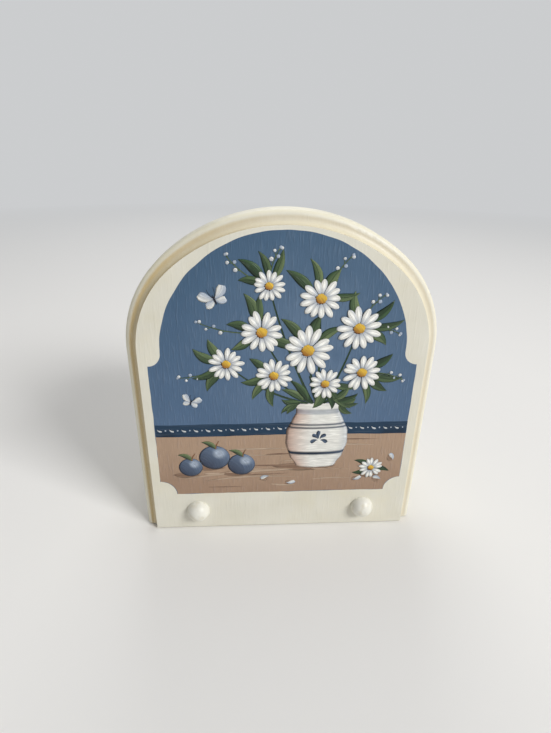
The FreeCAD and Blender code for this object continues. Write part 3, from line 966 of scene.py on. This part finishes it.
plumSizes = {
    "plums": [    # across, up, half width, half height
        (-42.0, 56.5, 9.6, 8.8), (-25.5, 51.0, 8.6, 8.0), (-57.0, 49.5, 7.4, 6.8),
    ],
    "light": (0.45, 0.55),
    "bloom": (0.32, 0.36, 0.18),    # middle and radius of its ring
    "level": 0.2,
    "thick": 0.3,
    "shadow": (leafWidths, 1.9, 0.17, 0.03, lambda t, u: mixTone("darkTan", "tan", abs(u) * 0.6)),
    "stalk": (lineWidths, 0.42, 0.52, 0.1, twoTone("darkTan", "ochre")),
    "leaf": (leafWidths, 1.7, 0.5, 0.12, twoTone("lightGreen", "darkGreen")),
}


def paintOrb(layers, x, z, wide, high, level, thick, pick, rings=7, sides=26):
    # a low round dome of paint; pick gives its colour for a place from -1 to 1 across and up
    bm, colourLayer, uvLayer = layers

    def corner(a, r):
        px, pz = r * math.cos(a), r * math.sin(a)
        vert = bm.verts.new(onFace(x + wide * px, z + high * pz, level + thick * (1 - r * r)))
        vert[colourLayer] = pick(px, pz)
        along, across = 0.8 * high * pz - 0.6 * wide * px, 0.6 * high * pz + 0.8 * wide * px
        return vert, ((across + 0.05 * along * along + x) / 5, (along + z) / 10)    # hair lines bent one way
    spokes = [[corner(2 * math.pi * n / sides, 1 - ring / rings) for ring in range(rings)]
              for n in range(sides)]
    hub = corner(0, 0)
    faces = [[spoke[0] for spoke in reversed(spokes)]]
    for here, after in zip(spokes, spokes[1:] + spokes[:1]):
        for ring in range(rings - 1):
            faces.append((here[ring], after[ring], after[ring + 1], here[ring + 1]))
        faces.append((here[-1], after[-1], hub))
    for corners in faces:
        face = bm.faces.new([c[0] for c in corners])
        face.smooth = True
        for loop, c in zip(face.loops, corners):
            loop[uvLayer].uv = c[1]


def paintPlums(layers, s):
    lightX, lightZ = s["light"]
    bloomX, bloomZ, radius = s["bloom"]

    def skin(px, pz):
        lit = px * lightX + pz * lightZ
        colour = mixTone("dusk", "slate", 0.62 + lit * 0.9)
        ring = math.hypot(px - bloomX, pz - bloomZ)
        colour = mixTone("mist", colour, abs(ring - radius) * 3.2)
        return mixTone(colour, "dusk", max(0.0, math.hypot(px, pz) - 0.86) * 3 * (1 - lit))
    for x, z, wide, high in s["plums"]:
        brush(layers, s["shadow"], (x - wide * 1.5, z - high * 0.82), (x + wide * 0.7, z - high * 0.9), -0.3)
    for number, (x, z, wide, high) in enumerate(s["plums"]):
        paintOrb(layers, x, z, wide, high, s["level"] + 0.1 * (1 - number % 2), s["thick"], skin)
        top = (x + 1.0, z + high * 0.72)
        brush(layers, s["stalk"], top, (x + 3.2, z + high + 3.4), 0.5)
        brush(layers, s["leaf"], top, (x - 7.4, z + high + 2.6), -1.5)


paintPiece("paintedPlums", paintPlums, plumSizes)

tableStrokeSizes = {
    "glints": [    # two long light ones: start, finish, bow, half width
        ((-63, 40.5), (44, 45.5), 3.4, 1.1), ((-48, 38.6), (12, 40.0), 2.4, 0.8),
    ],
    "glint": (leafWidths, 1.0, 0.168, 0.03, twoTone(mixTone("lightTan", "tan", 0.2), "tan"), 24, 7),
    "tones": ["darkTan", "lightTan", "lightTan"],    # by turns
    "count": 13,
    "reach": 62,    # to either side
    "length": (14, 44),
    "width": (0.3, 0.75),
    "from": 32.0,
    "to": 69.0,
    "waver": (-0.8, 0.8),
    "level": 0.165,
    "thick": 0.03,
    "faint": 0.45,    # how far a stroke's colour goes into the table's
    "edge": 0.6,      # how much of its own comes back along one side
}


def paintTableStrokes(layers, s):
    for glint in s["glints"]:
        brush(layers, s["glint"], *glint)
    for n in range(s["count"]):
        length = random.uniform(*s["length"])
        x = random.uniform(-s["reach"], s["reach"] - length)
        z = s["from"] + (s["to"] - s["from"]) * (n + random.uniform(0.1, 0.9)) / s["count"]
        width = random.uniform(*s["width"])
        colour = s["tones"][n % 3]
        faint = mixTone(colour, "tan", s["faint"])
        tones = twoTone(faint, mixTone(faint, colour, s["edge"]))
        kind = (leafWidths, width, s["level"], s["thick"], tones)
        finish = (x + length, z + random.uniform(*s["waver"]))
        brush(layers, kind, (x, z), finish, random.uniform(*s["waver"]))


paintPiece("paintedTableStrokes", paintTableStrokes, tableStrokeSizes)
print("crock, plums and table painted")


daisySizes = {
    "flowers": [    # across, up, size, turn
        (13.0, 128.0, 1.22, 5), (-13.0, 139.0, 1.05, 20), (41.0, 141.0, 1.08, 12), (19.0, 158.0, 1.0, 0),
        (-6.0, 112.5, 0.92, 14), (45.0, 114.0, 0.98, 8), (-33.0, 120.0, 0.86, 3), (-9.0, 165.0, 0.74, 10),
        (24.0, 107.0, 0.84, 18),
    ],
    "fallen": [(57.0, 46.5, 0.66, 4)],
    "fallenShadow": (leafWidths, 2.6, 0.17, 0.03, tableShade),
    "fallenLeaves": [(196, 1.6), (152, -1.4), (-14, 1.2)],    # angle and bow
    "fallenLeaf": (leafWidths, 3.0, 0.24, 0.16, twoTone("green", "darkGreen"), 11, 6),
    "loosePetals": [    # across, up, angle
        (46.0, 37.5, 24), (64.5, 37.0, 160), (-8.0, 41.5, 200), (3.0, 36.0, 12), (71.0, 52.0, 120),
    ],
    "looseLength": 5.6,
    "loosePetal": (commaWidths, 1.35, 0.22, 0.16, petalTones, 9, 6),
    "looseShadow": (leafWidths, 1.5, 0.17, 0.03, tableShade),
    "shadowShift": (-0.9, -0.8),
    "petals": 13,
    "petalLength": 9.0,
    "petalWidth": 2.0,
    "petalStep": 0.008,       # from one layer of petals to the next
    "petalOrder": 5.0,        # layers between neighbours
    "petalTurn": 0.09,        # most that a petal turns from its place, in radians
    "unevenness": 0.09,
    "ring": 2.5,              # radius at which the petals start
    "centre": 3.3,            # radius of the yellow middle
    "eye": (0.12, 0.42),      # how far it stands over the level, and its thickness
    "dots": (9, 0.32),        # how many round its lower left, and how large
    "dotTurns": (150, 17),    # angle of the first, and from one to the next
    "level": 0.55,
    "levelStep": 0.16,        # by which two of each three daisies stand over the one before
}


def keepStamp(name, bm):
    # a mesh at the origin that Geometry Nodes repeat; it is removed afterwards
    bmesh.ops.translate(bm, verts=bm.verts, vec=(0, -faceY, 0))
    return newObject(name, meshFrom(name, bm))


def makePetal(s):
    # one petal along +X, light on one side and shaded at its foot
    layers = newStrokes()
    path = [(s["petalLength"] * n / 8, 0.0) for n in range(9)]
    widths = [s["petalWidth"] * (0.3 + 0.7 * math.sin(math.pi * 0.5 * min(1, t * 1.5))) * (1 - t ** 7 * 0.75)
              for t in (n / 8 for n in range(9))]

    def pick(t, u):
        colour = mixTone("shadeWhite", "white", 0.25 + 1.5 * t)
        return mixTone(colour, "shadeWhite", max(0.0, -u - 0.2) * 0.75)
    addStroke(layers, path, widths, 0.0, 0.22, pick, 6)
    return keepStamp("petal", layers[0])


def newGeoTree(name, **kinds):
    tree = bpy.data.node_groups.new(name, "GeometryNodeTree")
    for socketName, kind in {"Geometry": "Geometry", **kinds}.items():
        tree.interface.new_socket(name=socketName, in_out="INPUT", socket_type="NodeSocket" + kind)
    tree.interface.new_socket(name="Geometry", in_out="OUTPUT", socket_type="NodeSocketGeometry")
    result = tree.nodes.new("NodeGroupOutput").inputs["Geometry"]
    return tree, tree.nodes.new("NodeGroupInput").outputs, result


def geoNode(tree, kind, inputs=None, **settings):
    return addNode(tree, "GeometryNode" + kind, inputs, **settings).outputs[0]


def stored(tree, name):
    return geoNode(tree, "InputNamedAttribute", {"Name": name}, data_type="FLOAT")


def vectorOf(tree, **parts):
    return shaderNode(tree, "CombineXYZ", parts).outputs[0]


def rotationOf(tree, **parts):
    return addNode(tree, "FunctionNodeEulerToRotation", {"Euler": vectorOf(tree, **parts)}).outputs[0]


def chance(tree, low, high, seed, salt=0.0):
    inputs = {2: low, 3: high, "Seed": calc(tree, "ADD", seed, salt) if salt else seed}
    return addNode(tree, "FunctionNodeRandomValue", inputs, data_type="FLOAT").outputs[1]


def uneven(tree, given, salt=0.0):
    # a random factor about 1
    low, high = (calc(tree, way, 1.0, given["Unevenness"]) for way in ("SUBTRACT", "ADD"))
    return chance(tree, low, high, given["Seed"], salt)


def setOut(tree, points, stamp, rotation, scale, **chosen):
    shape = addNode(tree, "GeometryNodeObjectInfo", {"Object": stamp}, transform_space="ORIGINAL")
    return geoNode(tree, "InstanceOnPoints", {"Points": points, "Instance": shape.outputs["Geometry"],
                                              "Rotation": rotation, "Scale": scale, **chosen})


def endTree(tree, instances, material, result):
    real = geoNode(tree, "RealizeInstances", {"Geometry": instances})
    give(tree, result, geoNode(tree, "SetMaterial", {"Geometry": real, "Material": material}))
    return tree


def makePetalTree(s):
    # petals set round each point, each turned and sized a little differently, one layer over the next
    tree, given, result = newGeoTree("petalRings", Petal="Object", Petals="Int", Ring="Float",
                                     Unevenness="Float", Step="Float", Seed="Int", Paint="Material")
    size, turn, number = (stored(tree, name) for name in ("size", "turn", "number"))
    inputs = {"Geometry": given["Geometry"], "Amount": given["Petals"]}
    many = addNode(tree, "GeometryNodeDuplicateElements", inputs, domain="POINT").outputs
    inputs = {"Geometry": many["Geometry"], "Name": "number", "Value": many["Duplicate Index"]}
    points = geoNode(tree, "StoreNamedAttribute", inputs, data_type="FLOAT", domain="POINT")
    angle = times(tree, calc(tree, "DIVIDE", number, given["Petals"]), 2 * math.pi)
    angle = calc(tree, "ADD", angle, turn)
    jitter = chance(tree, -s["petalTurn"], s["petalTurn"], given["Seed"], 1.0)
    angle = calc(tree, "ADD", angle, jitter)
    out = times(tree, given["Ring"], size)
    layer = calc(tree, "MODULO", times(tree, number, s["petalOrder"]), given["Petals"])
    offset = vectorOf(tree, X=times(tree, calc(tree, "COSINE", angle), out),
                      Y=times(tree, times(tree, layer, given["Step"]), -1.0),
                      Z=times(tree, calc(tree, "SINE", angle), out))
    moved = geoNode(tree, "SetPosition", {"Geometry": points, "Offset": offset})
    scale = vectorOf(tree, X=times(tree, size, uneven(tree, given, 2.0)), Y=1.0, Z=size)
    lean = rotationOf(tree, Y=times(tree, angle, -1.0))
    return endTree(tree, setOut(tree, moved, given["Petal"], lean, scale), given["Paint"], result)


def makePoints(name, points, edges=(), **attributes):
    mesh = bpy.data.meshes.new(name)
    mesh.from_pydata(points, edges, [])
    for key, values in attributes.items():
        mesh.attributes.new(key, "FLOAT", "POINT").data.foreach_set("value", values)
    return newObject(name, mesh)


def growPiece(name, source, tree, inputs, *bodyAndSlot):
    # runs the tree on the source and keeps the result as a plain mesh
    modifier = source.modifiers.new(name, "NODES")
    modifier.node_group = tree
    for item in tree.interface.items_tree:
        if item.in_out == "INPUT" and item.name in inputs:
            modifier[item.identifier] = inputs[item.name]
    bpy.context.view_layer.update()
    evaluated = source.evaluated_get(bpy.context.evaluated_depsgraph_get())
    mesh = bpy.data.meshes.new_from_object(evaluated)
    mesh.name = name
    bpy.data.objects.remove(source)
    keepPiece(name, mesh, *bodyAndSlot)


def setDaisies(s):
    # across, up, size, turn and level of each
    flowers = s["flowers"] + s["fallen"]
    return [(*flower, s["level"] + s["levelStep"] * (n % 3)) for n, flower in enumerate(flowers)]


def growPetals(s):
    daisies = setDaisies(s)
    places = [onFace(x, z, level) for x, z, _, _, level in daisies]
    turns = [math.radians(daisy[3]) for daisy in daisies]
    spots = makePoints("daisySpots", places, size=[daisy[2] for daisy in daisies], turn=turns)
    petal = makePetal(s)
    inputs = {"Petal": petal, "Petals": s["petals"], "Ring": s["ring"] * mm, "Unevenness": s["unevenness"],
              "Step": s["petalStep"] * mm, "Seed": 11, "Paint": strokePaint}
    growPiece("paintedDaisies", spots, makePetalTree(s), inputs)
    bpy.data.objects.remove(petal)


def paintDaisyEyes(layers, s):
    rise, thick = s["eye"]
    count, dot = s["dots"]
    turn, apart = s["dotTurns"]
    for x, z, size, _, level in setDaisies(s):
        radius = s["centre"] * size
        paintOrb(layers, x, z, radius, radius * 0.92, level + rise, thick,
                 lambda px, pz: mixTone("ochre", "yellow", 0.62 + (px * 0.5 + pz * 0.8)), 5, 20)
        for n in range(count):
            spot = polar(x, z, turn + apart * n + random.uniform(-5, 5), radius * random.uniform(0.8, 1.02))
            paintOrb(layers, *spot, dot, dot, level + 0.3, 0.2, evenTone("black"), 2, 7)


def paintLooseThings(layers, s):
    # what has dropped on the table: petals, and a daisy with its leaves, each over its own shadow
    for x, z, size, _ in s["fallen"]:
        left, right = (x - 12 * size, z - 7 * size), (x + 11 * size, z - 7.5 * size)
        brush(layers, s["fallenShadow"], left, right, -1.2, size)
        for angle, bow in s["fallenLeaves"]:
            brush(layers, s["fallenLeaf"], (x, z), polar(x, z, angle, 19 * size), bow, size)
    right, up = s["shadowShift"]
    for x, z, angle in s["loosePetals"]:
        tip = polar(x, z, angle, s["looseLength"])
        brush(layers, s["looseShadow"], (x + right, z + up), (tip[0] + right, tip[1] + up), 0.5)
        brush(layers, s["loosePetal"], tip, (x, z), 0.6)


growPetals(daisySizes)
paintPiece("paintedDaisyEyes", paintDaisyEyes, daisySizes)
paintPiece("paintedLooseThings", paintLooseThings, daisySizes)

leafSizes = {
    "level": 0.3,
    "levelStep": 0.012,             # each lies this much higher than the last, until they start again
    "levels": 14,
    "thick": 0.2,
    "length": (13, 20),
    "width": (2.3, 3.3),
    "bow": (0.8, 2.2),
    "stem": (lineWidths, 0.75, 0.24, 0.1, twoTone("darkGreen", "green"), 12),
    "vein": 0.22,
    "middle": (14, 122),            # of the bouquet, which the leaves point away from
    "round": (-58, -22, 18, 55),    # angles beside each daisy, then round the crock's mouth and over its rim
    "mouth": (20, 45, 75, 104, 128, 150, 172, 8, -6),
    "hanging": (188, 200, -14),
    "droop": 26,                    # how much further the last ones turn down
    "waver": (9, 12),               # angles by which a leaf beside a daisy leaves its place and its aim
}


def paintLeaves(layers, s):
    mouthX, mouthZ = crockSizes["centre"], crockSizes["foot"] + crockSizes["height"] + 1.6
    for x, z, *_ in daisySizes["flowers"]:    # stems
        brush(layers, s["stem"], (mouthX + (x - mouthX) * 0.12, mouthZ), (x, z), (mouthX - x) * 0.07)
    order = 0

    def leaf(x, z, angle, grow, light):
        nonlocal order
        order += 1
        length = random.uniform(*s["length"]) * grow
        width = random.uniform(*s["width"]) * grow
        bow = random.choice((-1, 1)) * random.uniform(*s["bow"])
        first = mixTone("green", "lightGreen", light)
        second = mixTone("darkGreen", "green", light * 0.8)
        level = s["level"] + s["levelStep"] * (order % s["levels"])
        path = bendPath((x, z), polar(x, z, angle, length), bow, 11)
        addStroke(layers, path, leafWidths(width, 11), level, s["thick"], twoTone(first, second), 6)
        addStroke(layers, path[1:-1], lineWidths(s["vein"], 9), level + s["thick"] * 0.92, 0.05,
                  twoTone(second, "darkGreen"))
    shift, twist = s["waver"]
    for x, z, size, _ in daisySizes["flowers"]:
        away = math.degrees(math.atan2(z - s["middle"][1], x - s["middle"][0]))
        for side in s["round"]:
            angle = away + side + random.uniform(-shift, shift)
            start = polar(x, z, angle, 5.5 * size)
            leaf(*start, angle + random.uniform(-twist, twist), 0.78 + 0.2 * size, random.uniform(0, 1))
    for angle in s["mouth"]:
        start = polar(mouthX + 9 * math.cos(math.radians(angle)), mouthZ + 1, angle, 1.5)
        leaf(*start, angle, 0.86, random.uniform(0, 0.8))
    for angle in s["hanging"]:
        start = (mouthX + 13 * math.cos(math.radians(angle)), mouthZ - 0.5)
        leaf(*start, angle + math.copysign(s["droop"], angle), 0.7, 0.5)


paintPiece("paintedLeaves", paintLeaves, leafSizes)

sprigSizes = {
    "sprigs": [    # each starts behind a daisy: across, up, angle, length
        (-13, 139, 170, 36), (42, 141, -8, 23), (21, 158, 60, 27), (-9, 165, 74, 21),
        (46, 114, -12, 25), (-33, 120, 197, 29), (41, 143, 53, 22), (-12, 166, 142, 25),
    ],
    "count": 10,      # points along each, with buds from the next one on
    "firstBud": 5,
    "bud": 1.15,
    "twig": (lineWidths, 0.22, 0.33, 0.06, twoTone("green", "lightGreen"), 5),
    "twigLength": 2.6,
    "twigTurn": 34,   # to either side by turns
    "stalk": 0.4,
    "level": 0.3,
}


def paintSprigs(layers, s):
    last = s["count"] - 1
    for x, z, angle, length in s["sprigs"]:
        path = bendPath((x, z), polar(x, z, angle, length), length * 0.07, s["count"])
        addStroke(layers, path, lineWidths(s["stalk"], s["count"]), s["level"], 0.1,
                  twoTone("green", "lightGreen"))
        for n in range(s["firstBud"], s["count"]):
            turn = s["twigTurn"] if n % 2 else -s["twigTurn"]
            bud = polar(*path[n], angle + turn, 0.0 if n == last else s["twigLength"])
            if n < last:
                brush(layers, s["twig"], path[n], bud, 0.2)
            grow = s["bud"] * random.uniform(0.8, 1.15) * (1.25 - 0.05 * n)
            lit = "white" if n % 3 else "mist"
            paintOrb(layers, *bud, grow, grow, s["level"] + 0.08, 0.3,
                     lambda px, pz: mixTone("shadeWhite", lit, 0.55 + 0.5 * (px * 0.4 + pz * 0.8)), 3, 10)


paintPiece("paintedSprigs", paintSprigs, sprigSizes)

flutterSizes = {
    "butterflies": [(-38.0, 158.0, 1.0, 22), (-54.0, 96.0, 0.72, -18)],    # across, up, size, lean
    "wings": [(38, 8.6, 2.7), (-20, 6.2, 2.2)],    # angle, length, half width
    "wing": (commaWidths, 1.0, 0.12, 0.16, petalTones, 9, 6),
    "feeler": (lineWidths, 0.2, 0.22, 0.05, evenTone("black"), 7),
    "body": (leafWidths, 0.62, 0.32, 0.14, twoTone("black", "dusk")),
}


def paintButterflies(layers, s):
    for x, z, size, lean in s["butterflies"]:
        ahead = lean + 90
        for side in (1, -1):
            for angle, length, width in s["wings"]:
                tip = polar(x, z, ahead + side * (90 - angle), length * size)
                brush(layers, s["wing"], tip, (x, z), -side * 0.9 * size, width * size)
            brush(layers, s["feeler"], (x, z), polar(x, z, ahead + side * 17, 6.4 * size), side * 0.5)
        tail, head = polar(x, z, lean - 90, 3.4 * size), polar(x, z, ahead, 2.6 * size)
        brush(layers, s["body"], tail, head, 0.1, size)


paintPiece("paintedButterflies", paintButterflies, flutterSizes)

borderSizes = {
    "pitch": 3.6,
    "length": 3.0,
    "stroke": (commaWidths, 0.62, 0.0, 0.07, twoTone("white", "mist"), 7, 4),
    "dot": 0.5,
    "height": 4.3,             # above the table's edge
    "reach": 74.0,
    "level": 0.105,
    "lean": 0.5,
    "rise": 0.0,               # of the dots over the strokes
    "unevenness": 0.14,
}


def makeBorderTree():
    # comma strokes set out along a line, with a dot between each two
    tree, given, result = newGeoTree("strokeBorder", Stroke="Object", Dot="Object", Pitch="Float",
                                     Lean="Float", Rise="Float", Unevenness="Float", Seed="Int",
                                     Paint="Material")
    line = geoNode(tree, "MeshToCurve", {"Mesh": given["Geometry"]})
    even = geoNode(tree, "ResampleCurve", {"Curve": line, "Length": given["Pitch"]}, mode="LENGTH")
    points = geoNode(tree, "CurveToPoints", {"Curve": even}, mode="EVALUATED")
    odd = calc(tree, "MODULO", geoNode(tree, "InputIndex"), 2.0)
    size = uneven(tree, given)
    lean = rotationOf(tree, Y=times(tree, given["Lean"], size))
    rise = vectorOf(tree, Z=times(tree, given["Rise"], odd))
    placed = geoNode(tree, "SetPosition", {"Geometry": points, "Offset": rise})
    scale = vectorOf(tree, X=size, Y=1.0, Z=size)
    both = addNode(tree, "GeometryNodeJoinGeometry")
    for stamp, chosen in (("Stroke", calc(tree, "LESS_THAN", odd, 0.5)), ("Dot", odd)):
        give(tree, both.inputs[0], setOut(tree, placed, given[stamp], lean, scale, Selection=chosen))
    return endTree(tree, both.outputs[0], given["Paint"], result)


def paintBorder(s):
    layers = newStrokes()
    brush(layers, s["stroke"], (s["length"] / 2, 0), (-s["length"] / 2, 0), 0.5)
    stroke = keepStamp("borderStroke", layers[0])
    layers = newStrokes()
    paintOrb(layers, 0, 0, s["dot"], s["dot"], 0.0, 0.1, evenTone("mist"), 2, 9)
    dot = keepStamp("borderDot", layers[0])
    across = [s["reach"] * (n / 20 - 1) for n in range(41)]
    line = makePoints("borderLine", [onFace(x, tableEdge(x) + s["height"], s["level"]) for x in across],
                      [(n, n + 1) for n in range(len(across) - 1)])
    inputs = {"Stroke": stroke, "Dot": dot, "Pitch": s["pitch"] * mm, "Lean": s["lean"], "Rise": s["rise"],
              "Unevenness": s["unevenness"], "Seed": 5, "Paint": strokePaint}
    growPiece("paintedBorder", line, makeBorderTree(), inputs)
    for stamp in (stroke, dot):
        bpy.data.objects.remove(stamp)


paintBorder(borderSizes)
print("bouquet, butterflies and border painted")

fillerSizes = {
    "radius": 1.0,
    "rings": [(1.0, -0.05), (0.86, 0.066), (0.62, 0.12), (0.3, 0.0744)],    # share of the radius, height
    "hub": 0.06,
    "sides": 14,
    "unevenness": 0.18,
    "back": [(x, z) for x in (-58.0, -19.33, 19.33, 58.0) for z in (3.2, 42.15)],    # across and up
    "shelf": [(x, y) for x in (-71.25, 71.25) for y in (-20.0, 20.0)],               # across and deep
    "drawer": [(20.3, 17.95), (20.3, 29.75)],                                        # deep and up
}


def makeFiller(s):
    # a dab of putty over a sunk brad head, dished in its middle, facing up
    radius, sides = s["radius"] * mm, s["sides"]
    turns = [2 * math.pi * n / sides for n in range(sides)]
    bm = bmesh.new()
    loops = []
    for r, z in s["rings"]:
        places = [(radius * r * math.cos(a), radius * r * math.sin(a), z * mm) for a in turns]
        loops.append([bm.verts.new(place) for place in places])
    hub = bm.verts.new((0, 0, s["hub"] * mm))
    joinLoops(bm, loops)
    for n in range(sides):
        bm.faces.new((loops[-1][n], loops[-1][(n + 1) % sides], hub))
    bm.faces.new(loops[0][::-1])
    for face in bm.faces:
        face.smooth = True
    return newObject("filler", meshFrom("filler", bm))


def makeFillerTree():
    # a dab on each point, leaning the way the point faces and turned at random
    tree, given, result = newGeoTree("fillerDabs", Dab="Object", Unevenness="Float", Seed="Int",
                                     Finish="Material")
    tilt = rotationOf(tree, X=stored(tree, "lean"), Y=stored(tree, "roll"))
    turn = rotationOf(tree, Z=chance(tree, 0.0, 2 * math.pi, given["Seed"]))
    rotation = addNode(tree, "FunctionNodeRotateRotation", {"Rotation": tilt, "Rotate By": turn},
                       rotation_space="LOCAL").outputs[0]
    scale = vectorOf(tree, X=uneven(tree, given, 1.0), Y=uneven(tree, given, 2.0), Z=1.0)
    dabs = setOut(tree, given["Geometry"], given["Dab"], rotation, scale)
    return endTree(tree, dabs, given["Finish"], result)


def fillBrads(s):
    dab, tree = makeFiller(s), makeFillerTree()
    backY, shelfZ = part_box("back_panel")[1].y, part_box("napkin_shelf")[1].z
    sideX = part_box("drawer_side_right")[1].x
    quarter = math.pi / 2
    back = [(x * mm, backY, z * mm, -quarter, 0) for x, z in s["back"]]
    shelf = [(x * mm, y * mm, shelfZ, 0, 0) for x, y in s["shelf"]]
    drawer = [(side * sideX, y * mm, z * mm, 0, side * quarter) for side in (-1, 1) for y, z in s["drawer"]]
    sets = [
        ("backFillers", back, filledCream, "carcass", "cream_paint"),
        ("shelfFillers", shelf, filledCream, "carcass", "cream_paint"),
        ("drawerFillers", drawer, putty, "drawer", "bare_pine"),
    ]
    for number, (name, spots, finish, body, slot) in enumerate(sets):
        points = makePoints(name + "Spots", [spot[:3] for spot in spots], lean=[spot[3] for spot in spots],
                            roll=[spot[4] for spot in spots])
        inputs = {"Dab": dab, "Unevenness": s["unevenness"], "Seed": 20 + 3 * number, "Finish": finish}
        growPiece(name, points, tree, inputs, body, slot)
    bpy.data.objects.remove(dab)


puttySizes = dict(pineSizes, early=tone(206, 172, 122), late=tone(192, 156, 108))
putty = makeBareWood("woodPutty", (1.0, 1.0, 1.0), 60.0, puttySizes, 9.0)
filledSizes = dict(creamSizes, cream=tone(214, 204, 176), thin=tone(198, 184, 150))    # filler shows through
filledCream = makeCreamPaint("creamPaintFilled", (500.0, 500.0, 500.0), filledSizes, 8.0)
fillBrads(fillerSizes)
print("brad holes filled")
